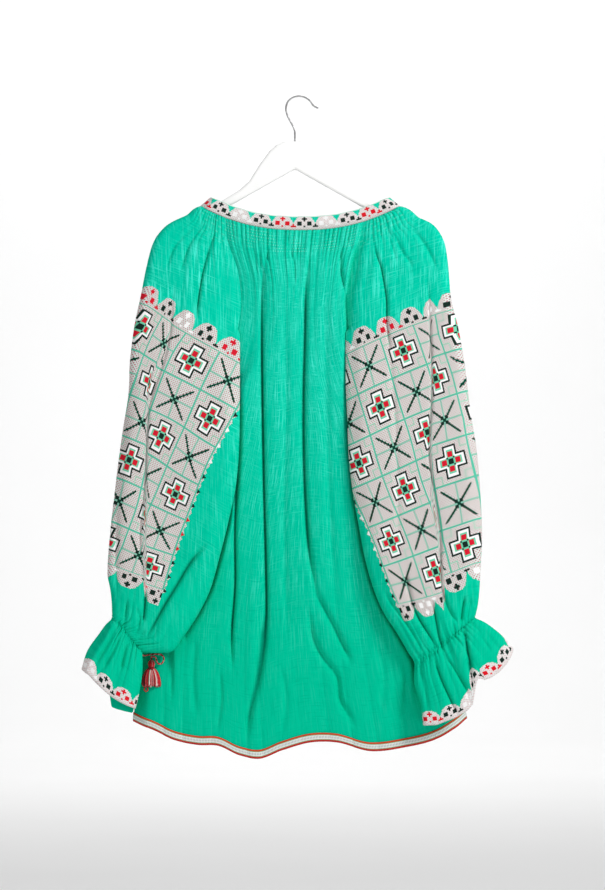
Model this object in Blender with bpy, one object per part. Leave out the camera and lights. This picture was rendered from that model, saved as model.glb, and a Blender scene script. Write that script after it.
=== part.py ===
"""Embroidered linen tunic hanging by its shoulders on a hanger, seen from its back.

Metres, +Z up. -Y is the tunic's back, the side that shows, and +Y its front.
The origin is the inside top of the hanger's hook.
The tables below are in millimetres and are turned into metres by MM.
"""

import math
from collections import namedtuple

import bmesh
import bpy
import numpy as np
from mathutils import Vector

MM = 0.001

# Cloth and seams
LINEN = 1.2
BAND_WALL = 1.6
TAPE_WALL = 1.0
GAP = 0.3
LAP = 3.0
BUTT = 0.9
UNDERARM_GAP = 1.6
SEAM_Y = -12.9

# Hanger
HANGER_X = -6.0
HANGER_THICK = 12.0
HANGER_EDGE = 3.0
WIRE = 2.8
STEM_FOOT_Z = -84.0
HANGER_TOP_Z = -64.3
SOCKET = WIRE + 2 * GAP

# Neckband
BAND_HEIGHT = 20.0
BAND_HALF = 145.0
BAND_X = 3.0
BAND_LOW_Z = -196.5
BAND_RISE = 35.0
BAND_CURVE = 2.3
BAND_END_LEAN = 1.2
BAND_ROUNDING = 10.0
BAND_COLUMNS = 52
FRONT_DIP = 34.0
BACK_Y = -11.0
FRONT_Y = 11.0

# Hem
TAPE_WIDTH = 13.0
TAPE_LIFT = 0.45

# Wrist tie and tassel
TIE = 2.4
TASSEL_Y = -27.0

SleeveRow = namedtuple("SleeveRow", "fold_x fold_z out_x out_z seam under near front bow")
# One row for each section of a sleeve, from the neckband to the frill's hem.
# fold: the inner edge. out: the outer edge. seam: where the raglan seam or the
# underarm seam lies, as a share of the row's width. under: the depth of the layer
# behind the inner edge. near: the depth of the layer that shows. front: the depth of
# the tunic's front layer. bow: how far the row's middle hangs below its ends.
RIGHT_SLEEVE = [
    SleeveRow(97, -186, 147, -162, 0.00, -12.7, -12.7, 12.0, 2),
    SleeveRow(90, -210, 172, -176, 0.00, -12.7, -13.5, 12.0, 2),
    SleeveRow(83, -228, 195, -189, 0.00, -12.7, -14.5, 12.0, 0),
    SleeveRow(77, -254, 210, -216, 0.00, -12.7, -16.0, 12.0, 0),
    SleeveRow(71, -296, 214, -249, 0.00, -12.7, -18.0, 12.0, 0),
    SleeveRow(68, -356, 216, -286, 0.07, -14.0, -22.0, 11.0, 0),
    SleeveRow(68, -410, 228, -339, 0.18, -15.2, -26.0, 8.0, 0),
    SleeveRow(70, -463, 238, -394, 0.29, -16.0, -30.0, 1.0, 0),
    SleeveRow(72, -517, 247, -455, 0.37, -16.5, -33.0, -14.5, 0),
    SleeveRow(78, -574, 257, -521, 0.38, -17.5, -35.0, -17.5, 0),
    SleeveRow(86, -619, 262, -583, 0.38, -18.0, -37.0, -18.0, 0),
    SleeveRow(94, -663, 264, -637, 0.38, -18.0, -40.0, -18.0, 0),
    SleeveRow(106, -708, 262, -682, 0.38, -18.0, -43.0, -18.0, 2),
    SleeveRow(122, -747, 260, -715, 0.38, -18.0, -45.0, -18.0, 4),
    SleeveRow(141, -776, 257, -737, 0.38, -18.5, -46.0, -18.5, 5),
    SleeveRow(157, -803, 254, -748, 0.38, -19.0, -45.0, -19.0, 4),
    SleeveRow(168, -824, 252, -756, 0.38, -20.0, -43.0, -20.0, 2),
    SleeveRow(167, -847, 268, -763, 0.38, -20.0, -47.0, -20.0, 5),
    SleeveRow(170, -879, 290, -779, 0.38, -20.0, -54.0, -20.0, 12),
    SleeveRow(174, -909, 309, -800, 0.38, -20.0, -58.0, -20.0, 20),
]
LEFT_SLEEVE = [
    SleeveRow(-110, -181, -143, -162, 0.00, -12.7, -12.7, 12.0, 1),
    SleeveRow(-107, -204, -161, -173, 0.00, -12.7, -13.5, 12.0, 2),
    SleeveRow(-99, -230, -192, -190, 0.00, -12.7, -14.5, 12.0, 0),
    SleeveRow(-91, -256, -209, -213, 0.00, -12.7, -16.0, 12.0, 0),
    SleeveRow(-87, -296, -218, -247, 0.00, -12.7, -18.0, 12.0, 0),
    SleeveRow(-86, -361, -225, -286, 0.07, -14.0, -22.0, 11.0, 0),
    SleeveRow(-86, -415, -235, -336, 0.15, -15.2, -26.0, 8.0, 0),
    SleeveRow(-86, -465, -242, -386, 0.24, -16.0, -30.0, 1.0, 0),
    SleeveRow(-87, -510, -246, -429, 0.33, -16.5, -33.0, -14.5, 0),
    SleeveRow(-91, -560, -253, -476, 0.34, -17.5, -35.0, -17.5, 0),
    SleeveRow(-102, -615, -260, -526, 0.34, -18.0, -37.0, -18.0, 0),
    SleeveRow(-115, -667, -266, -576, 0.34, -18.0, -41.0, -18.0, 0),
    SleeveRow(-129, -716, -273, -639, 0.34, -18.0, -45.0, -18.0, 2),
    SleeveRow(-148, -754, -276, -687, 0.34, -18.0, -50.0, -18.0, 3),
    SleeveRow(-167, -782, -271, -713, 0.34, -18.0, -54.0, -18.0, 3),
    SleeveRow(-187, -804, -267, -737, 0.34, -18.5, -56.0, -18.5, 2),
    SleeveRow(-229, -803, -265, -755, 0.34, -20.0, -56.0, -20.0, 0),
    SleeveRow(-229, -829, -280, -771, 0.34, -20.0, -60.0, -20.0, 2),
    SleeveRow(-233, -861, -296, -796, 0.34, -20.0, -65.0, -20.0, 5),
    SleeveRow(-239, -885, -310, -829, 0.34, -20.0, -68.0, -20.0, 8),
]
UNDERARM_ROW = 8
WRIST_ROW = 16
FOLD_RADIUS = 8.0
INNER_COLUMNS = 5
NEAR_COLUMNS = 12
FRONT_LAYER_COLUMNS = 9
FRILL_LOBES = 4
FRILL_WAVE = 4.0

EdgePoint = namedtuple("EdgePoint", "x z")
# The hem's lower edge, from left to right.
HEM = [
    EdgePoint(-240, -907), EdgePoint(-213, -917), EdgePoint(-180, -933),
    EdgePoint(-146, -940), EdgePoint(-118, -941), EdgePoint(-86, -955),
    EdgePoint(-58, -960), EdgePoint(-25, -948), EdgePoint(20, -936),
    EdgePoint(52, -936), EdgePoint(105, -949), EdgePoint(150, -944),
    EdgePoint(200, -931), EdgePoint(243, -903),
]

Fold = namedtuple("Fold", "top_x hem_x height half_width start")
# Soft vertical ridges of a body panel, and the share of its length where each begins.
BACK_FOLDS = [
    Fold(-120, -170, 2.5, 22, 0.72),
    Fold(-66, -106, 3.0, 13, 0.05),
    Fold(-25, -15, 4.5, 26, 0.05),
    Fold(36, 40, 3.5, 17, 0.05),
    Fold(90, 150, 3.0, 24, 0.72),
]
FRONT_FOLDS = [
    Fold(-48, -120, 3.0, 24, 0.08),
    Fold(5, 10, 3.5, 26, 0.08),
    Fold(50, 130, 3.0, 24, 0.08),
]
BACK_COLUMNS = 26
FRONT_COLUMNS = 18
SIDE_ROWS = 10
FOLD_MARGIN = 24.0
FOLD_RISE = 0.15
SIDE_ROUNDING = 12
UNDERARM_Y = -10.3
HEM_SIDE_Y = -2.0
HEM_FLARE = 4.0

HangerPoint = namedtuple("HangerPoint", "out z")
# Half of the hanger's outline, from its top middle round to its lower middle.
HANGER_HALF = [
    HangerPoint(15, HANGER_TOP_Z), HangerPoint(27, -70), HangerPoint(37, -79),
    HangerPoint(51, -98), HangerPoint(66, -122), HangerPoint(80, -135),
    HangerPoint(128, -164.4), HangerPoint(180, -196.6), HangerPoint(190, -203),
    HangerPoint(195, -208), HangerPoint(197, -215), HangerPoint(190, -219.5),
    HangerPoint(98, -160),
]
HANGER_LOW = HangerPoint(0, -105)

HookPoint = namedtuple("HookPoint", "x z")
HOOK = [
    HookPoint(-6, STEM_FOOT_Z), HookPoint(-6, -70), HookPoint(-6, -56),
    HookPoint(-6.3, -48.5), HookPoint(-8.3, -43), HookPoint(-13, -34.5),
    HookPoint(-17, -26), HookPoint(-19, -16), HookPoint(-16.5, -7),
    HookPoint(-10, -1.2), HookPoint(-1, 1.4), HookPoint(9, -0.6),
    HookPoint(16.5, -6), HookPoint(20.5, -12), HookPoint(28, -16.4),
]

TiePoint = namedtuple("TiePoint", "x y z")
TIE_ROUTE = [
    TiePoint(-227.0, -36, -810), TiePoint(-222, -31, -810.5), TiePoint(-215, -27, -809.5),
    TiePoint(-207, -25, -809), TiePoint(-199.5, -24, -810), TiePoint(-196, -24, -814),
    TiePoint(-196.5, -25, -819), TiePoint(-200, -26, -823), TiePoint(-204, -27, -822.5),
    TiePoint(-206.3, -29, -818), TiePoint(-207.5, -31, -813.5), TiePoint(-211, -31, -811.8),
    TiePoint(-213.8, -28, -813), TiePoint(-214, TASSEL_Y, -816.6),
]

TasselRing = namedtuple("TasselRing", "z half_width half_depth")
TASSEL_X = -214.0
TASSEL = [
    TasselRing(-817.0, 2.2, 2.2), TasselRing(-819, 4.6, 4.2), TasselRing(-825, 5.6, 4.8),
    TasselRing(-829, 4.4, 4.0), TasselRing(-833, 7.4, 5.0), TasselRing(-843, 11.0, 6.0),
    TasselRing(-854, 14.0, 6.5), TasselRing(-859, 13.0, 6.5),
]
TASSEL_SIDES = 16


def clear_scene():
    for thing in list(bpy.data.objects):
        bpy.data.objects.remove(thing, do_unlink=True)


def material(name, colour, roughness, metallic=0.0):
    made = bpy.data.materials.new(name)
    made.use_nodes = True
    shader = made.node_tree.nodes["Principled BSDF"]
    shader.inputs["Base Color"].default_value = (*colour, 1.0)
    shader.inputs["Roughness"].default_value = roughness
    shader.inputs["Metallic"].default_value = metallic
    return made


def add_object(name, data, finish):
    data.materials.append(finish)
    thing = bpy.data.objects.new(name, data)
    bpy.context.scene.collection.objects.link(thing)
    return thing


def smooth_line(points, count):
    """A line of count points on the smooth curve through the given points."""
    rows = np.array(points, float)
    steps = np.linalg.norm(np.diff(rows, axis=0), axis=1)
    along = np.concatenate([[0.0], np.cumsum(steps)])
    slopes = np.gradient(rows, along, axis=0)
    at = np.linspace(0.0, along[-1], count)
    span = np.clip(np.searchsorted(along, at, side="right") - 1, 0, len(steps) - 1)
    width = steps[span][:, None]
    t = ((at - along[span]) / steps[span])[:, None]
    start, end = rows[span], rows[span + 1]
    leave, reach = slopes[span] * width, slopes[span + 1] * width
    return (
        (2 * t**3 - 3 * t**2 + 1) * start
        + (t**3 - 2 * t**2 + t) * leave
        + (3 * t**2 - 2 * t**3) * end
        + (t**3 - t**2) * reach
    )


def evenly(points, count):
    """The polyline again, as count points an equal way apart."""
    rows = np.array(points, float)
    steps = np.linalg.norm(np.diff(rows, axis=0), axis=1)
    along = np.concatenate([[0.0], np.cumsum(steps)])
    at = np.linspace(0.0, along[-1], count)
    return np.stack([np.interp(at, along, rows[:, k]) for k in range(rows.shape[1])], axis=1)


def grid_mesh(name, points, shared_rows=(), ring=False):
    """A sheet of quads through rows of points.

    In shared_rows the last point of the row is the first one again, so the sheet is a
    tube there. ring joins the last row to the first.
    """
    mesh = bpy.data.meshes.new(name)
    shape = bmesh.new()
    rows = []
    for number, row in enumerate(points):
        made = [shape.verts.new(Vector(p) * MM) for p in row]
        if number in shared_rows:
            shape.verts.remove(made[-1])
            made[-1] = made[0]
        rows.append(made)
    pairs = list(zip(rows, rows[1:]))
    if ring:
        pairs.append((rows[-1], rows[0]))
    for upper, lower in pairs:
        for a, b, c, d in zip(upper, upper[1:], lower[1:], lower):
            corners = [p for i, p in enumerate((a, b, c, d)) if p not in (a, b, c, d)[:i]]
            shape.faces.new(corners)
    bmesh.ops.recalc_face_normals(shape, faces=shape.faces)
    shape.to_mesh(mesh)
    shape.free()
    mesh.shade_smooth()
    return mesh


def thicken(thing, wall):
    """Gives a sheet its wall, half to each side."""
    solid = thing.modifiers.new("Wall", "SOLIDIFY")
    solid.thickness = wall * MM
    solid.offset = 0.0
    solid.use_even_offset = True
    solid.use_rim = True


def fold_arc(t_from, y_from, y_to, t_tip):
    """Half of a rounded fold, from one layer round its tip to the other."""
    middle, half = (y_from + y_to) / 2, (y_from - y_to) / 2
    turns = [math.pi * k / 8 for k in range(9)]
    return [(t_from + (t_tip - t_from) * math.sin(a), middle + half * math.cos(a)) for a in turns]


def sleeve_path(row, width, number):
    """One section of a sleeve: the way across it, and the depth there."""
    closed = number >= UNDERARM_ROW
    seam = row.seam * width
    fold = min(FOLD_RADIUS, width / 6)
    near_end = width - fold
    if closed:
        at_underarm = number == UNDERARM_ROW
        start = (seam + UNDERARM_GAP, SEAM_Y) if at_underarm else (seam, row.under)
        end = start
    else:
        start = (seam - LAP, SEAM_Y)
        end = (seam + BUTT, panel_edge_depth(number, FRONT_Y))
    path = [start]
    if start[0] > 2 * fold:
        path.append((start[0] - fold, (start[1] + 3 * row.under) / 4))
    if start[0] > fold / 2:
        path += fold_arc(min(fold, start[0]), row.under, row.near, 0.0)
    else:
        path.append((1.5 * fold, row.near))
    tip = len(path) - 1 if path[-1][0] > fold else len(path) - 5
    path += fold_arc(near_end, row.near, row.front, width)
    out_tip = len(path) - 5
    path.append(end)
    first = evenly(path[: tip + 1], INNER_COLUMNS + 1)
    second = evenly(path[tip : out_tip + 1], NEAR_COLUMNS + 1)
    third = evenly(path[out_tip:], FRONT_LAYER_COLUMNS + 1)
    return np.concatenate([first, second[1:], third[1:]])


def sleeve_points(table):
    """Every section of a sleeve in the row frame."""
    sections = []
    for number, row in enumerate(table):
        fold = np.array([row.fold_x, row.fold_z], float)
        out = np.array([row.out_x, row.out_z], float)
        width = float(np.linalg.norm(out - fold))
        across = (out - fold) / width
        path = sleeve_path(row, width, number)
        flare = max(0.0, (number - WRIST_ROW) / (len(table) - 1 - WRIST_ROW))
        section = []
        for column, (t, y) in enumerate(path):
            turn = 2 * math.pi * column / (len(path) - 1)
            x, z = fold + across * t
            z -= row.bow * math.sin(math.pi * min(max(t / width, 0.0), 1.0))
            y += FRILL_WAVE * flare * (math.cos(FRILL_LOBES * turn) - 1)
            if number == 0:
                front_share = min(max((y - BACK_Y) / (FRONT_Y - BACK_Y), 0.0), 1.0)
                z = seam_low(x) - front_share * front_drop(x)
            section.append((x, y, z))
        sections.append(section)
    return sections


def raglan(table):
    """The seam between a body panel and a sleeve, from the neckband to the underarm."""
    line = []
    for row in table[: UNDERARM_ROW + 1]:
        x = row.fold_x + (row.out_x - row.fold_x) * row.seam
        z = row.fold_z + (row.out_z - row.fold_z) * row.seam
        line.append((x, z))
    line[0] = (line[0][0], seam_low(line[0][0]))
    return line


def panel_side(table, corner):
    """A body panel's edge: the raglan seam, then the side seam to the hem's corner."""
    seam = raglan(table)
    share = [(k + 1) / SIDE_ROWS for k in range(SIDE_ROWS)]
    x0, z0 = seam[-1]
    lower = [(x0 + (corner.x - x0) * s, z0 + (corner.z - z0) * s) for s in share]
    return np.array(seam + lower)


def panel_edge_depth(row, depth):
    """The depth of a panel's edge: at its own layer by the neck, at the side seam below."""
    out = -1 if depth < 0 else 1
    seam_gap = (LINEN + GAP) / 2
    if row <= UNDERARM_ROW:
        share = (row / UNDERARM_ROW) ** 2
        return depth + (UNDERARM_Y + out * seam_gap - depth) * share
    share = (row - UNDERARM_ROW) / SIDE_ROWS
    return UNDERARM_Y + (HEM_SIDE_Y - UNDERARM_Y) * share + out * seam_gap


def panel_points(depth, folds, columns):
    """A body panel as rows of points, from the neckband's lower edge to the hem."""
    left = panel_side(LEFT_SLEEVE, HEM[0])
    right = panel_side(RIGHT_SLEEVE, HEM[-1])
    if depth > 0:
        for side in (left, right):
            side[0][1] -= front_drop(side[0][0])
    count = len(left)
    hem = smooth_line([(p.x, p.z) for p in HEM], columns + 1)
    out = -1 if depth < 0 else 1
    rows = []
    for number in range(count):
        length = np.mean([np.linalg.norm(side[number] - side[0]) for side in (left, right)])
        whole = np.mean([np.linalg.norm(side[-1] - side[0]) for side in (left, right)])
        s = length / whole
        edge = panel_edge_depth(number, depth)
        middle = depth + out * HEM_FLARE * s
        row = []
        for column in range(columns + 1):
            u = column / columns
            top_x = left[0][0] + (right[0][0] - left[0][0]) * u
            top_z = seam_low(top_x)
            if depth > 0:
                top_z -= front_drop(top_x)
            chord_top = left[0] + (right[0] - left[0]) * u
            chord_hem = hem[0] + (hem[-1] - hem[0]) * u
            across = left[number] + (right[number] - left[number]) * u
            x, z = (
                across
                + (1 - s) * (np.array([top_x, top_z]) - chord_top)
                + s * (hem[column] - chord_hem)
            )
            round_off = (1 - abs(2 * u - 1) ** SIDE_ROUNDING) ** 0.5
            y = edge + (middle - edge) * round_off
            room = min(x - left[number][0], right[number][0] - x)
            fade = min(max(room / FOLD_MARGIN - 0.3, 0.0), 1.0)
            y += out * fade * fold_height(folds, x, s)
            row.append((x, y, z))
        rows.append(row)
    return rows


def fold_height(folds, x, s):
    """How far the folds lift the cloth at one point."""
    total = 0.0
    for fold in folds:
        centre = fold.top_x + (fold.hem_x - fold.top_x) * s
        rise = min(max((s - fold.start) / FOLD_RISE, 0.0), 1.0)
        total += fold.height * rise * math.exp(-(((x - centre) / fold.half_width) ** 2))
    return total


def band_low(x):
    """The neckband's lower edge at the back."""
    share = min(abs(x - BAND_X) / BAND_HALF, 1.0)
    return BAND_LOW_Z + BAND_RISE * share**BAND_CURVE


def seam_low(x):
    """The upper edge of what is gathered into the neckband."""
    share = min(abs(x - BAND_X) / BAND_HALF, 1.0)
    return band_low(x) - GAP - BAND_WALL / 2 * share**6


def front_drop(x):
    """How much lower the neckline is at the front."""
    share = min(abs(x - BAND_X) / BAND_HALF, 1.0)
    return FRONT_DIP * max(0.0, 1 - share**2) ** 1.5


def neckband_points():
    """Sections of the neckband, once round the neck."""
    low = []
    for k in range(BAND_COLUMNS):
        turn = 2 * math.pi * k / BAND_COLUMNS
        along = math.sin(turn)
        x = BAND_X + BAND_HALF * math.copysign(abs(along) ** 0.8, along)
        side = -math.cos(turn)
        round_off = min(1.0, (BAND_HALF - abs(x - BAND_X)) / BAND_ROUNDING) ** 0.5
        y = math.copysign(1, side) * FRONT_Y * round_off
        drop = front_drop(x) if y > 0 else 0.0
        low.append((x, y, band_low(x) - drop))
    rows = []
    for k, (x, y, z) in enumerate(low):
        before, after = low[k - 1], low[(k + 1) % BAND_COLUMNS]
        run = Vector((after[0] - before[0], after[2] - before[2]))
        lean = Vector((-run.y, run.x)).normalized() if run.length > 1 else Vector((0, 1))
        lean = -lean if lean.y < 0 else lean
        hold = min(1.0, (BAND_HALF - abs(x - BAND_X)) / (2 * BAND_ROUNDING))
        inward = Vector((-math.copysign(BAND_END_LEAN, x - BAND_X), 1)).normalized()
        lean = (lean * hold + inward * (1 - hold)).normalized()
        top = (x + lean.x * BAND_HEIGHT, y, z + lean.y * BAND_HEIGHT)
        rows.append([(x, y, z), top])
    return rows


def tape_points(panel, out):
    """The hem tape: the panel's lowest stretch, moved out by a wall and a gap."""
    low, above = np.array(panel[-1]), np.array(panel[-2])
    along = np.gradient(low, axis=0)
    lift = np.stack([along[:, 1], -along[:, 0], np.zeros(len(low))], axis=1) * -out
    lift *= (LINEN / 2 + TAPE_LIFT + TAPE_WALL / 2) / np.linalg.norm(lift, axis=1)[:, None]
    run = above - low
    way = run / np.linalg.norm(run, axis=1)[:, None]
    made = []
    for up in (-0.5, TAPE_WIDTH / 2, TAPE_WIDTH):
        line = low + way * up + lift
        made.append([tuple(p) for p in line])
    return made


def build_hanger(finish):
    half = list(HANGER_HALF)
    outline = [(HANGER_X + p.out, p.z) for p in half]
    outline += [(HANGER_X + HANGER_LOW.out, HANGER_LOW.z)]
    outline += [(HANGER_X - p.out, p.z) for p in reversed(half)]
    mesh = bpy.data.meshes.new("hanger_body")
    shape = bmesh.new()
    y = HANGER_THICK / 2
    verts = [shape.verts.new((x * MM, -y * MM, z * MM)) for x, z in outline]
    face = shape.faces.new(verts)
    made = bmesh.ops.extrude_face_region(shape, geom=[face])
    moved = [v for v in made["geom"] if isinstance(v, bmesh.types.BMVert)]
    bmesh.ops.translate(shape, verts=moved, vec=(0, HANGER_THICK * MM, 0))
    bmesh.ops.recalc_face_normals(shape, faces=shape.faces)
    shape.to_mesh(mesh)
    shape.free()
    body = add_object("hanger_body", mesh, finish)
    edge = body.modifiers.new("Edge", "BEVEL")
    edge.width = HANGER_EDGE * MM
    edge.segments = 2
    edge.limit_method = "ANGLE"
    edge.angle_limit = math.radians(50)
    socket_depth = HANGER_TOP_Z - STEM_FOOT_Z + HANGER_THICK
    bpy.ops.mesh.primitive_cylinder_add(
        vertices=16, radius=SOCKET / 2 * MM, depth=socket_depth * MM,
        location=(HANGER_X * MM, 0, (STEM_FOOT_Z - GAP + socket_depth / 2) * MM),
    )
    cutter = bpy.context.object
    cutter.name = "stem_socket_cutter"
    cutter.hide_render = True
    cutter.display_type = "WIRE"
    hole = body.modifiers.new("Stem socket", "BOOLEAN")
    hole.operation = "DIFFERENCE"
    hole.solver = "EXACT"
    hole.object = cutter
    return body


def build_wire(name, points, thickness, count, sides, finish):
    """A round wire or cord along a smooth line."""
    line = smooth_line(points, count)
    curve = bpy.data.curves.new(name, "CURVE")
    curve.dimensions = "3D"
    curve.bevel_depth = thickness / 2 * MM
    curve.bevel_resolution = sides
    curve.use_fill_caps = True
    spline = curve.splines.new("POLY")
    spline.points.add(len(line) - 1)
    for point, place in zip(spline.points, line):
        point.co = (*(place * MM), 1.0)
    return add_object(name, curve, finish)


def build_tassel(finish):
    """The head and skirt of the tassel as one closed solid."""
    mesh = bpy.data.meshes.new("tassel")
    shape = bmesh.new()
    rings = []
    for ring in TASSEL:
        made = []
        for k in range(TASSEL_SIDES):
            turn = 2 * math.pi * k / TASSEL_SIDES
            x = TASSEL_X + ring.half_width * math.cos(turn)
            y = TASSEL_Y + ring.half_depth * math.sin(turn)
            made.append(shape.verts.new((x * MM, y * MM, ring.z * MM)))
        rings.append(made)
    for upper, lower in zip(rings, rings[1:]):
        for k in range(TASSEL_SIDES):
            after = (k + 1) % TASSEL_SIDES
            shape.faces.new((upper[k], upper[after], lower[after], lower[k]))
    shape.faces.new(rings[0])
    shape.faces.new(rings[-1])
    bmesh.ops.recalc_face_normals(shape, faces=shape.faces)
    shape.to_mesh(mesh)
    shape.free()
    return add_object("tassel", mesh, finish)


def build_sleeve(name, table, finish):
    closed = range(UNDERARM_ROW, len(table))
    mesh = grid_mesh(name, sleeve_points(table), shared_rows=closed)
    sleeve = add_object(name, mesh, finish)
    thicken(sleeve, LINEN)
    return sleeve


def build_panel(name, depth, folds, columns, finish):
    points = panel_points(depth, folds, columns)
    panel = add_object(name, grid_mesh(name, points), finish)
    thicken(panel, LINEN)
    return points


def main():
    clear_scene()
    linen = material("green_linen", (0.0, 0.55, 0.30), 0.85)
    band = material("band_linen", (0.78, 0.74, 0.70), 0.85)
    ribbon = material("woven_ribbon", (0.55, 0.30, 0.25), 0.7)
    crimson = material("crimson_yarn", (0.45, 0.03, 0.05), 0.8)
    plastic = material("white_plastic", (0.85, 0.85, 0.84), 0.35)
    steel = material("bright_wire", (0.6, 0.6, 0.6), 0.25, 1.0)

    build_hanger(plastic)
    hook = [(p.x, 0.0, p.z) for p in HOOK]
    build_wire("hanger_hook", hook, WIRE, 48, 3, steel)

    back = build_panel("back_panel", BACK_Y, BACK_FOLDS, BACK_COLUMNS, linen)
    front = build_panel("front_panel", FRONT_Y, FRONT_FOLDS, FRONT_COLUMNS, linen)
    build_sleeve("sleeve_left", LEFT_SLEEVE, linen)
    build_sleeve("sleeve_right", RIGHT_SLEEVE, linen)

    collar = add_object("neckband", grid_mesh("neckband", neckband_points(), ring=True), band)
    thicken(collar, BAND_WALL)
    for name, panel, out in (("hem_tape_back", back, -1), ("hem_tape_front", front, 1)):
        tape = add_object(name, grid_mesh(name, tape_points(panel, out)), ribbon)
        thicken(tape, TAPE_WALL)

    tie = [(p.x, p.y, p.z) for p in TIE_ROUTE]
    build_wire("wrist_tie", tie, TIE, 36, 2, crimson)
    build_tassel(crimson)


main()
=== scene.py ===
"""Looks of the embroidered tunic: linen, cross-stitch, smocking, tape, cord, tassel and hanger.

Metres, +Z up. The tables are in millimetres, and MM turns them into metres.
-Y is the tunic's back, which faces the camera.
"""

import math
from collections import namedtuple

import bpy
import numpy as np
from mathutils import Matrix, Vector


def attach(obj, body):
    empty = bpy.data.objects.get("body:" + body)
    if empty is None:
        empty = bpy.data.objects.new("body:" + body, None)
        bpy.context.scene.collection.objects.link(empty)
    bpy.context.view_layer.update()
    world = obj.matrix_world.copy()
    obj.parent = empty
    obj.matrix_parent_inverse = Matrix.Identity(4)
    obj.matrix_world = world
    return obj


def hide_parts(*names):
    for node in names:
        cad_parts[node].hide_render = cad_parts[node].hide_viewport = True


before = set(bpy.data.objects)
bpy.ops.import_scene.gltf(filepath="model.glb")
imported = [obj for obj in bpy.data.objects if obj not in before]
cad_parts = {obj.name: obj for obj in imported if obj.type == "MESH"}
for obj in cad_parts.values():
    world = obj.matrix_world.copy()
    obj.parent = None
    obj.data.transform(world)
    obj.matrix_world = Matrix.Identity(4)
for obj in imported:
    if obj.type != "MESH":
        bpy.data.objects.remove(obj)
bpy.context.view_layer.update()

bl_info = {
    "name": "Embroidered Tunic",
    "version": (1, 0, 0),
    "blender": (4, 5, 0),
    "location": "View3D > Sidebar > Tunic",
    "description": "Makes the cloth, embroidery and trims of a hanging embroidered tunic",
    "category": "Mesh",
}

MM = 0.001
BODY = "root"

# The photo's scale at the garment: where a crease's route, given in the photo's pixels, lies.
PIXEL = 1.45
ORIGIN_PX, ORIGIN_PY = 299.0, 96.0
FRAME_WIDE, FRAME_HIGH = 605, 890

# Cloth, as in the solid model
CLOTH = 0.7
LAP = 3.0
BUTT = 0.9
UNDERARM_GAP = 1.6
SEAM_Y = -12.9
BAND_HEIGHT = 20.0
BAND_HALF = 145.0
BAND_X = 1.5
BAND_LOW_Z = -194.0
BAND_RISE = 35.0
BAND_CURVE = 2.3
BAND_END_LEAN = 1.2
BAND_ROUNDING = 10.0
BAND_WALL = 1.6
FRONT_DIP = 34.0
BACK_Y = -11.0
FRONT_Y = 11.0
SEAM_GAP = 0.75
GAP = 0.3
UNDERARM_Y = -10.3
HEM_SIDE_Y = -2.0
HEM_FLARE = 4.0
SIDE_ROUNDING = 12
SIDE_ROWS = 10
UNDERARM_ROW = 8
WRIST_ROW = 16
FOLD_RADIUS = 8.0
TAPE_WIDTH = 13.0
TAPE_LIFT = 1.3

SleeveRow = namedtuple("SleeveRow", "fold_x fold_z out_x out_z seam under near front bow")
# One row for each section of a sleeve, from the neckband to the frill's hem.
# fold: the inner edge. out: the outer edge. seam: where the raglan seam or the
# underarm seam lies, as a share of the row's width. under: the depth of the layer
# behind the inner edge. near: the depth of the layer that shows. front: the depth of
# the tunic's front layer. bow: how far the row's middle hangs below its ends.
RIGHT_SLEEVE = [SleeveRow(*row) for row in (
    (97, -186, 147, -162, 0.00, -12.7, -12.7, 12.0, 2),
    (90, -210, 172, -176, 0.00, -12.7, -13.5, 12.0, 2),
    (83, -228, 195, -189, 0.00, -12.7, -14.5, 12.0, 0),
    (77, -254, 210, -216, 0.00, -12.7, -16.0, 12.0, 0),
    (71, -296, 214, -249, 0.00, -12.7, -18.0, 12.0, 0),
    (68, -356, 216, -286, 0.07, -14.0, -22.0, 11.0, 0),
    (68, -410, 228, -339, 0.18, -15.2, -26.0, 8.0, 0),
    (70, -463, 238, -394, 0.29, -16.0, -30.0, 1.0, 0),
    (72, -517, 247, -455, 0.37, -16.5, -33.0, -14.5, 0),
    (78, -574, 257, -521, 0.38, -17.5, -35.0, -17.5, 0),
    (86, -619, 262, -583, 0.38, -18.0, -37.0, -18.0, 0),
    (94, -663, 264, -637, 0.38, -18.0, -40.0, -18.0, 0),
    (106, -708, 262, -682, 0.38, -18.0, -43.0, -18.0, 2),
    (122, -747, 260, -715, 0.38, -18.0, -45.0, -18.0, 4),
    (141, -776, 257, -737, 0.38, -18.5, -46.0, -18.5, 5),
    (157, -803, 254, -748, 0.38, -19.0, -45.0, -19.0, 4),
    (168, -824, 252, -756, 0.38, -20.0, -43.0, -20.0, 2),
    (167, -847, 268, -763, 0.38, -20.0, -47.0, -20.0, 5),
    (176, -879, 290, -779, 0.38, -20.0, -54.0, -20.0, 12),
    (180, -909, 309, -800, 0.38, -20.0, -58.0, -20.0, 20),
)]
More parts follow.
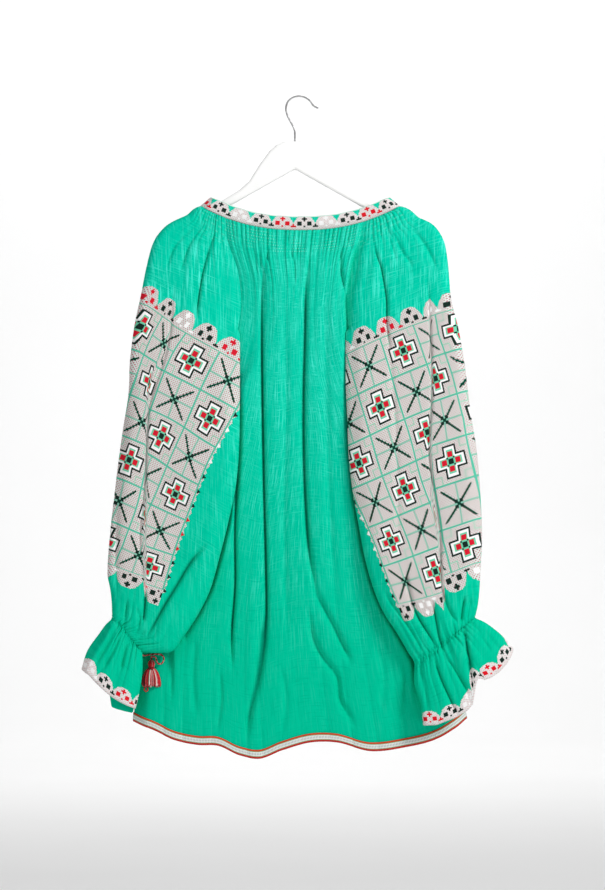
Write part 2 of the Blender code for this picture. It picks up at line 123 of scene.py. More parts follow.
LEFT_SLEEVE = [SleeveRow(*row) for row in (
    (-110, -181, -143, -162, 0.00, -12.7, -12.7, 12.0, 1),
    (-107, -204, -161, -173, 0.00, -12.7, -13.5, 12.0, 2),
    (-99, -230, -192, -190, 0.00, -12.7, -14.5, 12.0, 0),
    (-91, -256, -209, -213, 0.00, -12.7, -16.0, 12.0, 0),
    (-87, -296, -218, -247, 0.00, -12.7, -18.0, 12.0, 0),
    (-86, -361, -225, -286, 0.07, -14.0, -22.0, 11.0, 0),
    (-86, -415, -235, -336, 0.15, -15.2, -26.0, 8.0, 0),
    (-86, -465, -242, -386, 0.24, -16.0, -30.0, 1.0, 0),
    (-87, -510, -246, -429, 0.33, -16.5, -33.0, -14.5, 0),
    (-91, -560, -253, -476, 0.34, -17.5, -35.0, -17.5, 0),
    (-102, -615, -260, -526, 0.34, -18.0, -37.0, -18.0, 0),
    (-115, -667, -266, -576, 0.34, -18.0, -41.0, -18.0, 0),
    (-129, -716, -273, -639, 0.34, -18.0, -45.0, -18.0, 2),
    (-148, -754, -276, -687, 0.34, -18.0, -50.0, -18.0, 3),
    (-167, -782, -271, -713, 0.34, -18.0, -54.0, -18.0, 3),
    (-187, -804, -267, -737, 0.34, -18.5, -56.0, -18.5, 2),
    (-229, -803, -265, -755, 0.34, -20.0, -56.0, -20.0, 0),
    (-229, -829, -280, -771, 0.34, -20.0, -60.0, -20.0, 2),
    (-233, -861, -296, -796, 0.34, -20.0, -65.0, -20.0, 5),
    (-239, -885, -310, -829, 0.34, -20.0, -68.0, -20.0, 8),
)]

EdgePoint = namedtuple("EdgePoint", "x z")
# The hem's lower edge, from left to right.
HEM = [EdgePoint(*row) for row in (
    (-240, -907), (-213, -917), (-180, -933),
    (-146, -940), (-118, -941), (-86, -955),
    (-58, -960), (-25, -948), (20, -936),
    (52, -936), (105, -949), (150, -944),
    (200, -931), (243, -903),
)]

Crease = namedtuple("Crease", "depth width route")
# Creases, one by one. depth: how much of the cloth's lift the crease takes away, from 0 to 1.
# width: how far its soft sides reach, in mm. route: its course in the photo's pixels.
BACK_CREASES = [Crease(*row) for row in (
    (1.00, 5.5, [(267, 246), (263, 277), (262, 340), (263, 430), (264.5, 510), (266, 570),
                 (266, 630), (263, 660), (258, 686), (250, 714)]),
    (0.75, 8.0, [(264, 610), (262, 642), (257, 680), (250, 712), (246, 740)]),
    (0.95, 7.0, [(310, 246), (307, 272), (305, 340), (303.5, 430), (306, 510), (309, 550),
                 (315, 586), (318, 602)]),
    (0.95, 4.5, [(237, 444), (237, 470), (235, 530), (235, 590), (232, 630), (232, 668)]),
    (0.65, 8.0, [(314, 590), (330, 620), (340, 640), (352, 664)]),
    (0.60, 8.0, [(308, 610), (316, 646), (326, 662), (336, 674), (340, 700), (356, 726)]),
    (0.45, 3.0, [(253.5, 230), (252, 244), (255, 256), (257, 275)]),
    (0.45, 3.0, [(260.5, 232), (260.5, 251), (260, 276)]),
    (0.60, 3.0, [(272, 240), (269, 250), (266, 262)]),
    (0.40, 3.0, [(288.6, 240), (291, 252), (294, 262), (295, 284)]),
    (0.40, 3.0, [(298, 244), (296, 254), (294, 262)]),
    (0.50, 3.5, [(244, 236), (237, 254), (235, 268)]),
    (0.60, 4.5, [(341, 240), (341, 256), (341, 271), (345, 292), (346, 320)]),
    (0.40, 3.5, [(346, 236), (351, 246), (356, 254)]),
    (0.25, 10.0, [(285, 300), (286, 400), (284, 520), (287, 640)]),
    (0.25, 12.0, [(325, 290), (326, 400), (330, 520), (338, 620)]),
    (0.30, 6.0, [(171, 644), (172, 668), (171, 700)]),
    (0.30, 6.0, [(220, 672), (221, 698), (217, 730)]),
    (0.30, 9.0, [(196, 640), (193, 676), (196, 716)]),
    (0.25, 10.0, [(378, 640), (384, 676), (380, 716)]),
    (0.30, 8.0, [(404, 664), (406, 690), (402, 722)]),
    (0.20, 8.0, [(282, 668), (286, 700), (282, 736)]),
)]
LEFT_CREASES = [Crease(*row) for row in (
    (0.90, 4.0, [(224, 219), (212, 241), (207, 257), (203.5, 270), (199, 296), (196, 322)]),
    (0.55, 3.5, [(220, 225), (212, 242), (206, 260)]),
    (0.50, 4.0, [(205, 222), (190, 244), (180, 272)]),
    (0.45, 5.0, [(196, 226), (176, 244), (166, 268)]),
    (0.30, 9.0, [(222, 262), (221, 300), (224, 340)]),
    (0.50, 3.5, [(174, 285), (172, 305), (171, 330), (166, 355), (158, 380), (150, 405),
                 (148, 430), (146, 470), (144, 500), (141, 530), (141, 557), (144, 586)]),
    (0.60, 6.0, [(130, 372), (127, 421), (122, 468), (118, 506), (117, 549), (117, 600)]),
    (0.90, 5.5, [(207, 543), (191, 562), (176, 587), (165, 605), (153, 627), (143, 645)]),
    (0.95, 4.0, [(146, 592), (145.6, 606), (144, 622)]),
    (0.60, 3.5, [(128, 600), (127, 613), (125, 630)]),
    (0.60, 3.5, [(136, 608), (141, 617), (140, 625), (137, 636)]),
    (0.60, 4.0, [(146, 629), (140, 640), (138, 650)]),
    (0.60, 4.5, [(122, 633), (115, 649), (104, 668)]),
    (0.50, 4.0, [(128, 640), (125, 652), (122, 670)]),
    (0.50, 5.0, [(117, 629), (106, 648), (96, 664)]),
)]
RIGHT_CREASES = [Crease(*row) for row in (
    (0.40, 5.0, [(359, 258), (357, 272), (354.5, 288)]),
    (0.85, 4.0, [(374, 234), (375.6, 251.6), (381, 267), (384, 282), (386.6, 300),
                 (387, 322), (390, 350)]),
    (0.30, 7.0, [(388, 340), (393, 388), (397, 470), (398, 545)]),
    (0.45, 5.0, [(396, 236), (401, 250), (413, 267)]),
    (0.40, 4.0, [(386, 226), (390, 240), (396, 262)]),
    (0.45, 6.0, [(408, 226), (424, 244), (436, 268)]),
    (0.50, 3.5, [(427, 280), (429, 305), (431, 345), (431, 410), (428, 445), (435, 500),
                 (440, 535), (444, 600), (456, 620)]),
    (0.80, 4.5, [(405, 570), (413, 606), (418, 617), (431, 638), (438, 652)]),
    (0.70, 4.5, [(384, 592), (395, 608), (408, 626), (421, 650), (424, 660)]),
    (0.85, 4.5, [(432, 600), (436, 623), (439, 638), (444, 652)]),
    (0.50, 4.5, [(442, 590), (449, 611), (457, 622)]),
    (0.80, 4.0, [(464, 596), (461.5, 609), (460, 622)]),
    (0.60, 3.5, [(470, 598), (466.4, 618)]),
    (0.60, 4.5, [(418, 664), (424.5, 685), (426, 716)]),
    (0.75, 4.5, [(434, 658), (441.4, 680), (447.7, 694), (457, 714)]),
    (0.60, 4.5, [(445, 655), (455.7, 671), (467, 690)]),
    (1.00, 5.0, [(463, 624), (466.4, 645), (469, 662), (472.5, 680)]),
    (0.50, 4.5, [(471, 622), (481, 636), (490, 650)]),
    (0.50, 4.5, [(475, 620), (489, 636), (503, 654)]),
)]

HiddenStrip = namedtuple("HiddenStrip", "px py taken")
# Cloth that the deep fold of each sleeve takes in: where the fold is, and how many mm.
LEFT_HIDDEN = [HiddenStrip(*row) for row in (
    (171, 300, 0), (171, 330, 4), (166, 352, 8),
    (152, 372, 12), (148, 395, 18), (147.5, 430, 24),
    (146.5, 470, 27), (146.5, 510, 38), (145.5, 545, 46),
    (146, 600, 46),
)]
RIGHT_HIDDEN = [HiddenStrip(*row) for row in (
    (429, 290, 8), (430, 336, 20), (432, 379, 20),
    (430.5, 419, 22), (430.5, 461, 34), (432, 503, 50),
    (438, 540, 62), (442, 575, 64), (444, 610, 60),
)]

CellSpot = namedtuple("CellSpot", "px py out down")
# Where the middles of the cross-stitched cells lie in the photo: out counts the cells from
# the sleeve's inner side outwards, and down counts them from the shoulder. The last spots,
# in parts of a cell, are the squares of the lowest scallops.
LEFT_SPOTS = [CellSpot(*row) for row in (
    (209.7, 419.0, 0, 1), (227.8, 381.1, 0, 0), (191.3, 361.3, 1, 0),
    (174.4, 400.0, 1, 1), (163.7, 344.1, 2, 0), (162.0, 436.2, 1, 2),
    (142.2, 327.7, 3, 0), (189.5, 457.3, 0, 2), (175.6, 494.5, 0, 3),
    (160.7, 530.5, 0, 4), (148.6, 564.4, 0, 5), (142.2, 422.4, 2, 2),
    (129.7, 460.1, 2, 3), (120.1, 501.2, 2, 4), (139.0, 554.0, 1, 5),
    (148.0, 588.5, -0.15, 5.65),
)]
RIGHT_SPOTS = [CellSpot(*row) for row in (
    (403.3, 351.2, 2, 0), (369.0, 366.7, 1, 0), (416.3, 392.4, 2, 1),
    (379.8, 407.3, 1, 1), (393.6, 447.8, 1, 2), (427.0, 432.2, 2, 2),
    (435.3, 379.1, 3, 1), (444.1, 420.6, 3, 2), (455.2, 329.4, 4, 0),
    (450.6, 461.4, 3, 3), (404.6, 489.4, 1, 3), (358.7, 463.3, 0, 2),
    (349.0, 423.0, 0, 1), (375.0, 502.2, 0, 3), (420.9, 529.6, 1, 4),
    (458.6, 503.2, 3, 4), (390.9, 541.4, 0, 4), (434.9, 570.1, 1, 5),
    (464.5, 544.3, 3, 5), (404.6, 580.1, 0, 5), (405.0, 606.5, -0.33, 5.65),
    (442.0, 595.5, 1.05, 5.65),
)]

# side: the way the cells run out. first_cross: which cell has the first cross. scallop: where
# the first red scallop lies. foot: which neighbour's colour a foot between scallops takes.
# frill_start: how far round the frill's hem its red motif lies, in mm. tooth_start: where the
# coloured teeth start, in cells. tooth_red: which of the four groups of teeth is red.
Chart = namedtuple("Chart", "side first_cross scallop foot frill_start tooth_start tooth_red")
LEFT_CHART = Chart(-1, 1, 0.31, 1, 47.0, 2.26, 1)
RIGHT_CHART = Chart(1, 0, 1.79, 0, 28.0, 2.01, 3)
CELL = 61.0
SCALLOP_PITCH = 44.0
TOOTH_STEP = 0.407
BAND_PITCH = 32.6
BAND_STITCH_ACROSS, BAND_STITCH_UP = 1.33, 1.2
SCALLOP_STITCH = 1.5

DropPoint = namedtuple("DropPoint", "share drop")
# How far the right frill's hem hangs below the straight line between its corners, in mm.
# The near lobe ends in a deep fold, and the outer lobe is shorter.
RIGHT_FRILL_DROPS = [DropPoint(*row) for row in (
    (0.0, 1.0), (0.07, 9.0), (0.15, 17.0), (0.35, 29.0),
    (0.50, 34.0), (0.56, 31.0), (0.585, 19.0), (0.61, 1.0),
    (0.64, 5.0), (0.67, 10.0), (0.75, 15.0), (0.84, 17.0),
    (0.93, 14.0), (0.97, 9.0), (1.0, 0.0),
)]
LEFT_SIDE_BOW = 26.0
# Where the near layer of the left frill ends, in the photo's pixels. The far layer shows
# beyond it, FAR_DEPTH behind, and bulges out round FAR_BULGE_Z.
LEFT_FRILL_EDGE = [(121, 612), (109, 632), (98, 650), (89.5, 668), (86, 684)]
FAR_DEPTH, FAR_BULGE, FAR_BULGE_Z, FAR_BULGE_REACH = 14.0, 4.0, -806.0, 20.0
# How far the far layer's hem hangs below the near one's: a plain corner of cloth.
HangPoint = namedtuple("HangPoint", "x hang")
FAR_CORNER = [HangPoint(*row) for row in (
    (-275.0, 0.0), (-272.0, 19.0), (-259.0, 15.0), (-243.0, 11.0), (-238.0, 4.0), (-234.0, 0.0),
)]

TiePoint = namedtuple("TiePoint", "x y z")
TIE_ROUTE = [TiePoint(*row) for row in (
    (-227.0, -36, -810), (-222, -31, -810.5), (-215, -27, -809.5),
    (-207, -25, -809), (-199.5, -24, -810), (-196, -24, -814),
    (-196.5, -25, -819), (-200, -26, -823), (-204, -27, -822.5),
    (-206.3, -29, -818), (-207.5, -31, -813.5), (-211, -31, -811.8),
    (-213.8, -28, -813), (-214, -27, -816.6),
)]
TIE = 2.4
TASSEL_X, TASSEL_Y = -214.0, -27.0
TASSEL_TOP, TASSEL_NECK, TASSEL_END = -817.5, -829.5, -858.0
LOOP_X, LOOP_Z = -221.5, -859.5


class TunicSettings(bpy.types.PropertyGroup):
    """Sizes and colours that may be changed before the pieces are made."""

    linen: bpy.props.FloatVectorProperty(
        name="Linen", description="The green of the linen",
        default=(0.0, 0.50, 0.29), subtype="COLOR", size=3, min=0.0, max=1.0,
    )
    ground: bpy.props.FloatVectorProperty(
        name="Ground", description="The pale thread behind the motifs",
        default=(0.93, 0.95, 0.92), subtype="COLOR", size=3, min=0.0, max=1.0,
    )
    red: bpy.props.FloatVectorProperty(
        name="Red", description="The red thread",
        default=(0.76, 0.013, 0.025), subtype="COLOR", size=3, min=0.0, max=1.0,
    )
    black: bpy.props.FloatVectorProperty(
        name="Black", description="The black thread",
        default=(0.012, 0.014, 0.015), subtype="COLOR", size=3, min=0.0, max=1.0,
    )
    white: bpy.props.FloatVectorProperty(
        name="White", description="The bright white thread",
        default=(0.97, 0.96, 0.96), subtype="COLOR", size=3, min=0.0, max=1.0,
    )
    cloth: bpy.props.FloatProperty(
        name="Cloth", description="Thickness of the linen",
        default=CLOTH * MM, unit="LENGTH", min=0.0003, max=0.002,
    )
    stitch: bpy.props.FloatProperty(
        name="Stitch", description="Size of one cross-stitch",
        default=1.33 * MM, unit="LENGTH", min=0.0005, max=0.004,
    )
    gather: bpy.props.FloatProperty(
        name="Gather", description="Height of the fine gathers at the neckband",
        default=3.0 * MM, unit="LENGTH", min=0.0, max=0.005,
    )


def settings():
    return bpy.context.scene.tunic


# Curves and grids

def on_span(t, width, start, end, start_slope, end_slope):
    """The smooth curve at share t of a span that has these ends and slopes."""
    return (
        (2 * t**3 - 3 * t**2 + 1) * start
        + (t**3 - 2 * t**2 + t) * start_slope * width
        + (3 * t**2 - 2 * t**3) * end
        + (t**3 - t**2) * end_slope * width
    )


def smooth_between(stations, values, at):
    """Values between the stations, on a curve that doesn't swing past them."""
    x = np.asarray(stations, float)
    y = np.asarray(values, float).reshape(len(x), -1)
    step = np.diff(x)[:, None]
    slope = np.diff(y, axis=0) / step
    before, after = slope[:-1], slope[1:]
    same = before * after > 0
    total = np.where(same, before + after, 1.0)
    inner = np.where(same, 2 * before * after / total, 0.0)
    slopes = np.concatenate([slope[:1], inner, slope[-1:]])
    at = np.asarray(at, float)
    span = np.clip(np.searchsorted(x, at, side="right") - 1, 0, len(x) - 2)
    width = step[span]
    t = ((at - x[span]) / width[:, 0])[:, None]
    made = on_span(t, width, y[span], y[span + 1], slopes[span], slopes[span + 1])
    return made if np.ndim(values) > 1 else made[:, 0]


def lengths_along(points):
    steps = np.linalg.norm(np.diff(points, axis=0), axis=1)
    return np.concatenate([[0.0], np.cumsum(steps)])


def smooth_line(points, count):
    """A line of count points on the smooth curve through the given points."""
    rows = np.array(points, float)
    along = lengths_along(rows)
    slopes = np.gradient(rows, along, axis=0)
    at = np.linspace(0.0, along[-1], count)
    span = np.clip(np.searchsorted(along, at, side="right") - 1, 0, len(rows) - 2)
    width = np.diff(along)[span][:, None]
    t = (at - along[span])[:, None] / width
    return on_span(t, width, rows[span], rows[span + 1], slopes[span], slopes[span + 1])


def evenly(points, count):
    """The polyline again, as count points an equal way apart."""
    rows = np.array(points, float)
    along = lengths_along(rows)
    at = np.linspace(0.0, along[-1], count)
    return np.stack([np.interp(at, along, rows[:, k]) for k in range(rows.shape[1])], axis=1)


def ease(value, low, high):
    """0 below low, 1 above high, and smooth between."""
    t = np.clip((value - low) / (high - low), 0.0, 1.0)
    return t * t * (3 - 2 * t)


def from_photo(spots):
    return np.array([((px - ORIGIN_PX) * PIXEL, (ORIGIN_PY - py) * PIXEL) for px, py in spots])


def sheet_through(places, values, x, z):
    """Values at x and z on the smooth sheet that passes through the values at the places."""
    reach, give = 100.0, 0.002

    def pull(away):
        return away * np.log(away + 1e-9)

    spots = np.asarray(places, float) / reach
    count = len(spots)
    away = ((spots[:, None, :] - spots[None, :, :]) ** 2).sum(axis=2)
    left = np.zeros((count + 3, count + 3))
    left[:count, :count] = pull(away) + give * np.eye(count)
    left[:count, count:] = left[count:, :count].T
    left[:count, count:] = np.column_stack([np.ones(count), spots])
    left[count:, :count] = left[:count, count:].T
    right = np.zeros((count + 3, np.shape(values)[1]))
    right[:count] = values
    weights = np.linalg.solve(left, right)
    at = np.stack([x / reach, z / reach], axis=-1)
    made = weights[count] + at @ weights[count + 1 :]
    for k in range(count):
        made = made + pull(((at - spots[k]) ** 2).sum(axis=-1))[..., None] * weights[k]
    return made


def outward_normals(grid, outside):
    """Normals of a grid of points, turned to the side that outside points to in its middle."""
    down = np.gradient(grid, axis=0)
    across = np.gradient(grid, axis=1)
    normal = np.cross(across, down)
    normal /= np.linalg.norm(normal, axis=2)[:, :, None] + 1e-9
    middle = normal[grid.shape[0] // 2, outside[0]]
    return normal if middle @ np.array(outside[1]) > 0 else -normal


# Folds

# A crease has a narrow slot in a wider trough: how much of its depth each one has, and how
# far each one reaches, as a share of the crease's width. It tapers off over TAPER at its ends.
SLOT, SLOT_SHARE = 0.7, 0.52
TROUGH, TROUGH_SHARE = 0.3, 1.3
TAPER, TAPER_POWER = 0.18, 0.7


def crease_cut(x, z, creases):
    """What is left of the cloth's lift at each point, from 1 on smooth cloth to 0 in a crease."""
    left = np.ones(x.shape)
    for crease in creases:
        line = smooth_line(from_photo(crease.route), 20)
        nearest = np.full(x.shape, 1e9)
        share = np.zeros(x.shape)
        for k in range(len(line) - 1):
            run = line[k + 1] - line[k]
            t = ((x - line[k][0]) * run[0] + (z - line[k][1]) * run[1]) / (run @ run)
            t = np.clip(t, 0.0, 1.0)
            away = np.hypot(x - line[k][0] - t * run[0], z - line[k][1] - t * run[1])
            closer = away < nearest
            nearest = np.where(closer, away, nearest)
            share = np.where(closer, (k + t) / (len(line) - 1), share)
        taper = np.clip(np.minimum(share, 1 - share) / TAPER, 0.0, 1.0) ** TAPER_POWER
        slot = SLOT * np.exp(-((nearest / (SLOT_SHARE * crease.width)) ** 2))
        trough = TROUGH * np.exp(-nearest / (TROUGH_SHARE * crease.width))
        left *= 1 - crease.depth * taper * (slot + trough)
    return left


# How uneven the gathers' edges, heights and lengths are, and how round and how sudden.
EDGE_DRIFT, TALL_RANGE, LONG_RANGE = 0.28, (0.5, 1.25), (0.45, 1.5)
RIDGE_POWER, FADE_POWER = 0.55, 1.6


def gathers(along, below, pitch, height, reach, seed):
    """Uneven ridges side by side, which die away below the seam that gathers them."""
    draw = np.random.default_rng(seed)
    count = int((along.max() - along.min()) / pitch) + 4
    edges = along.min() + pitch * (np.arange(count + 1) - 1)
    edges = edges + draw.uniform(-EDGE_DRIFT, EDGE_DRIFT, count + 1) * pitch
    tall = height * draw.uniform(*TALL_RANGE, count)
    long = reach * draw.uniform(*LONG_RANGE, count)
    k = np.clip(np.searchsorted(edges, along) - 1, 0, count - 1)
    share = np.clip((along - edges[k]) / (edges[k + 1] - edges[k]), 0.0, 1.0)
    ridge = np.sin(math.pi * share) ** RIDGE_POWER
    return tall[k] * ridge * np.exp(-((np.abs(below) / long[k]) ** FADE_POWER))


# The neckband's edge and the body's outline

def band_share(x):
    return np.minimum(np.abs(x - BAND_X) / BAND_HALF, 1.0)


def band_low(x):
    return BAND_LOW_Z + BAND_RISE * band_share(x) ** BAND_CURVE


def seam_low(x):
    return band_low(x) - GAP - BAND_WALL / 2 * band_share(x) ** 6


def front_drop(x):
    return FRONT_DIP * np.maximum(0.0, 1 - band_share(x) ** 2) ** 1.5


def raglan(table):
    """The seam between a body panel and a sleeve, from the neckband to the underarm."""
    line = []
    for row in table[: UNDERARM_ROW + 1]:
        x = row.fold_x + (row.out_x - row.fold_x) * row.seam
        z = row.fold_z + (row.out_z - row.fold_z) * row.seam
        line.append((x, z))
    line[0] = (line[0][0], float(seam_low(line[0][0])))
    return line


def panel_side(table, corner, bow=0.0):
    seam = raglan(table)
    x0, z0 = seam[-1]
    share = [(k + 1) / SIDE_ROWS for k in range(SIDE_ROWS)]
    lower = [
        (x0 + (corner.x - x0) * s - bow * math.sin(math.pi * s), z0 + (corner.z - z0) * s)
        for s in share
    ]
    return np.array(seam + lower)


def panel_edge_depth(row, depth):
    out = -1 if depth < 0 else 1
    upper = depth + (UNDERARM_Y + out * SEAM_GAP - depth) * (row / UNDERARM_ROW) ** 2
    share = (row - UNDERARM_ROW) / SIDE_ROWS
    lower = UNDERARM_Y + (HEM_SIDE_Y - UNDERARM_Y) * share + out * SEAM_GAP
    return np.where(row <= UNDERARM_ROW, upper, lower)


ROW_CROWDING = 1.12


def panel_grid(depth, rows, columns):
    """A body panel's smooth form: points in mm, and the way across and down as shares."""
    left = panel_side(LEFT_SLEEVE, HEM[0], LEFT_SIDE_BOW)
    right = panel_side(RIGHT_SLEEVE, HEM[-1])
    if depth > 0:
        left[0][1] -= front_drop(left[0][0])
        right[0][1] -= front_drop(right[0][0])
    numbers = np.arange(len(left))
    along = (lengths_along(left) + lengths_along(right)) / 2
    wanted = along[-1] * np.linspace(0.0, 1.0, rows) ** ROW_CROWDING
    at = np.interp(wanted, along, numbers)
    left, right = (smooth_between(numbers, side, at) for side in (left, right))
    s = wanted[:, None] / along[-1]
    u = np.linspace(0.0, 1.0, columns)[None, :]
    top_x = left[0][0] + (right[0][0] - left[0][0]) * u
    top_z = seam_low(top_x)
    if depth > 0:
        top_z = top_z - front_drop(top_x)
    hem = smooth_line([(p.x, p.z) for p in HEM], columns)
    grid = np.zeros((rows, columns, 3))
    for axis, place, top in ((0, 0, top_x), (2, 1, top_z)):
        start, end = left[:, place][:, None], right[:, place][:, None]
        chord_top = start[0] + (end[0] - start[0]) * u
        chord_hem = hem[0][place] + (hem[-1][place] - hem[0][place]) * u
        across = start + (end - start) * u
        grid[:, :, axis] = across + (1 - s) * (top - chord_top) + s * (hem[:, place] - chord_hem)
    out = -1 if depth < 0 else 1
    edge = panel_edge_depth(at, depth)[:, None]
    middle = depth + out * HEM_FLARE * s
    round_off = (1 - np.abs(2 * u - 1) ** SIDE_ROUNDING) ** 0.5
    grid[:, :, 1] = edge + (middle - edge) * round_off
    shape = (rows, columns)
    return grid, np.broadcast_to(u, shape), np.broadcast_to(wanted[:, None], shape)


# How far from a sleeve the back panel lies flat, more beside the left sleeve's soft top edge,
# and how far it does so under the sleeve.
SLEEVE_REACH, SOFT_REACH, UNDER_REACH = 7.0, 52.0, 3.0
SOFT_LOW_Z, SOFT_HIGH_Z = -430.0, -330.0


def clear_of_sleeves(x, z):
    """1 where the back panel is free, falling to 0 where a sleeve lies on it."""
    free = np.ones(x.shape)
    for table, side in ((LEFT_SLEEVE, 1), (RIGHT_SLEEVE, -1)):
        rows = sorted(table[1 : WRIST_ROW + 1], key=lambda row: row.fold_z)
        edge = np.interp(z, [r.fold_z for r in rows], [r.fold_x for r in rows])
        low = rows[0].fold_z
        soft = SOFT_REACH * ease(z, SOFT_LOW_Z, SOFT_HIGH_Z) if side > 0 else 0.0
        reach = SLEEVE_REACH + soft + UNDER_REACH
        covered = 1 - ease(((x - edge) * side + UNDER_REACH) / reach, 0.0, 1.0)
        free = np.minimum(free, 1 - covered * ease(z, low - 60, low + 10))
    return free


# Sleeves

# A section's columns: behind the inner fold, across the layer that shows, and behind it.
INNER, NEAR, FRONT = 34, 132, 54
OUTER = INNER + NEAR
SLEEVE_ROWS = 215
SHIRR_ROWS, SHIRR_PITCH = 5.0, 5.2


def fold_arc(t_from, y_from, y_to, t_tip):
    middle, half = (y_from + y_to) / 2, (y_from - y_to) / 2
    turns = [math.pi * k / 12 for k in range(13)]
    return [(t_from + (t_tip - t_from) * math.sin(a), middle + half * math.cos(a)) for a in turns]


def sleeve_section(row, width, number):
    """One section of a sleeve: the way across it and the depth, and the same way unrolled."""
    seam = row.seam * width
    fold = min(FOLD_RADIUS, width / 6)
    closing = float(ease(number, UNDERARM_ROW - 1, UNDERARM_ROW))
    below = float(ease(number, UNDERARM_ROW, UNDERARM_ROW + 1))
    lap = LAP * (1 - closing) - UNDERARM_GAP * closing * (1 - below)
    start = (seam - lap, SEAM_Y + (row.under - SEAM_Y) * below)
    if number >= UNDERARM_ROW:
        end = start
    else:
        open_end = (seam + BUTT, float(panel_edge_depth(number, FRONT_Y)))
        end = tuple(a + (b - a) * closing for a, b in zip(open_end, start))
    path = [start]
    if start[0] > 2 * fold:
        path.append((start[0] - fold, (start[1] + 3 * row.under) / 4))
    if start[0] > fold / 2:
        path += fold_arc(min(fold, start[0]), row.under, row.near, 0.0)
        tip = len(path) - 7
    else:
        path.append((1.5 * fold, row.near))
        tip = 0
    path += fold_arc(width - fold, row.near, row.front, width)
    out_tip = len(path) - 7
    path.append(end)
    first = evenly(path[: tip + 1], INNER + 1) if tip else np.repeat([path[0]], INNER + 1, axis=0)
    second = evenly(path[tip : out_tip + 1], NEAR + 1)
    third = evenly(path[out_tip:], FRONT + 1)
    flat = np.concatenate([
        -lengths_along(first[::-1])[::-1] + second[0][0],
        second[1:, 0],
        second[-1, 0] + lengths_along(third)[1:],
    ])
    return np.concatenate([first, second[1:], third[1:]]), flat


def sleeve_grid(table, rows, drops):
    """A sleeve's smooth form, each row's number and way down, and its unrolled x and z."""
    values = np.array(table, float)
    middle = (values[:, [0, 1]] + values[:, [2, 3]]) / 2
    along = lengths_along(middle)
    wanted = along[-1] * np.linspace(0.0, 1.0, rows)
    numbers = np.interp(wanted, along, np.arange(len(table)))
    fine = smooth_between(np.arange(len(table)), values, numbers)
    grid, unrolled = [], []
    for number, row_values in zip(numbers, fine):
        row = SleeveRow(*row_values)
        fold = np.array([row.fold_x, row.fold_z])
        out = np.array([row.out_x, row.out_z])
        width = float(np.linalg.norm(out - fold))
        across = (out - fold) / width
        path, flat = sleeve_section(row, width, number)
        t, y = path[:, 0], path[:, 1]
        x = fold[0] + across[0] * t
        z = fold[1] + across[1] * t
        across_share = np.clip(t / width, 0.0, 1.0)
        frill = float(ease(number, WRIST_ROW + 0.2, WRIST_ROW + 3)) if drops else 0.0
        z = z - (1 - frill) * row.bow * np.sin(math.pi * across_share)
        if frill:
            z = z - frill * np.interp(across_share, *zip(*drops))
        if number < 1:
            share = np.clip((y - BACK_Y) / (FRONT_Y - BACK_Y), 0.0, 1.0)
            z = z + (1 - number) * (seam_low(x) - share * front_drop(x) - z)
        grid.append(np.stack([x, y, z], axis=1))
        unrolled.append(np.stack([fold[0] + across[0] * flat, fold[1] + across[1] * flat], axis=1))
    return np.array(grid), numbers, wanted, np.array(unrolled)


FOLD_SOFTNESS = 2.5


def opened_out(x, z, hidden, side):
    """The x of each point once the cloth in the sleeve's deep fold is laid flat."""
    spots = from_photo([(h.px, h.py) for h in hidden])
    order = np.argsort(spots[:, 1])
    fold_x = np.interp(z, spots[order, 1], spots[order, 0])
    taken = np.interp(z, spots[order, 1], np.array([h.taken for h in hidden], float)[order])
    return x + side * taken * ease((x - fold_x) * side, -FOLD_SOFTNESS, FOLD_SOFTNESS)


def chart_cells(unrolled, chart, spots, hidden):
    """Which cell of the cross-stitch each point of a sleeve lies in, as (outwards, down)."""
    x, z = unrolled[:, :, 0], unrolled[:, :, 1]
    places = from_photo([(s.px, s.py) for s in spots])
    places[:, 0] = opened_out(places[:, 0], places[:, 1], hidden, chart.side)
    values = [(s.out, s.down) for s in spots]
    return sheet_through(places, values, opened_out(x, z, hidden, chart.side), z)


# Meshes

def four_corners(values):
    """The values at the four corners of each face of a grid."""
    return np.stack([values[:-1, :-1], values[:-1, 1:], values[1:, 1:], values[1:, :-1]], axis=2)


def cloth_mesh(name, grid, maps, closed_from=None):
    """A mesh of quads through a grid of points in mm, with its UV maps.

    From row closed_from on, the last column is the first one again.
    """
    rows, columns = grid.shape[:2]
    ids = np.arange(rows * columns).reshape(rows, columns)
    if closed_from is not None:
        ids[closed_from:, -1] = ids[closed_from:, 0]
    used, faces = np.unique(four_corners(ids).reshape(-1), return_inverse=True)
    mesh = bpy.data.meshes.new(name)
    mesh.from_pydata((grid.reshape(-1, 3)[used] * MM).tolist(), [], faces.reshape(-1, 4).tolist())
    for map_name, values in maps.items():
        layer = mesh.uv_layers.new(name=map_name)
        layer.data.foreach_set("uv", four_corners(values).reshape(-1).astype(np.float32))
    mesh.shade_smooth()
    return mesh


def add_piece(name, mesh, material):
    piece = bpy.data.objects.new(name, mesh)
    bpy.context.scene.collection.objects.link(piece)
    mesh.materials.append(material)
    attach(piece, BODY)
    return piece


def thicken(piece, wall):
    """Gives the sheet its wall, half to each side."""
    bpy.ops.object.select_all(action="DESELECT")
    piece.select_set(True)
    bpy.context.view_layer.objects.active = piece
    solid = piece.modifiers.new("Wall", "SOLIDIFY")
    solid.thickness = wall
    solid.offset = 0.0
    solid.use_rim = True
    bpy.ops.object.modifier_apply(modifier=solid.name)


# A tube's radius: its core, and how much more it has on a ply.
PLY_CORE, PLY_BULGE = 0.72, 0.28


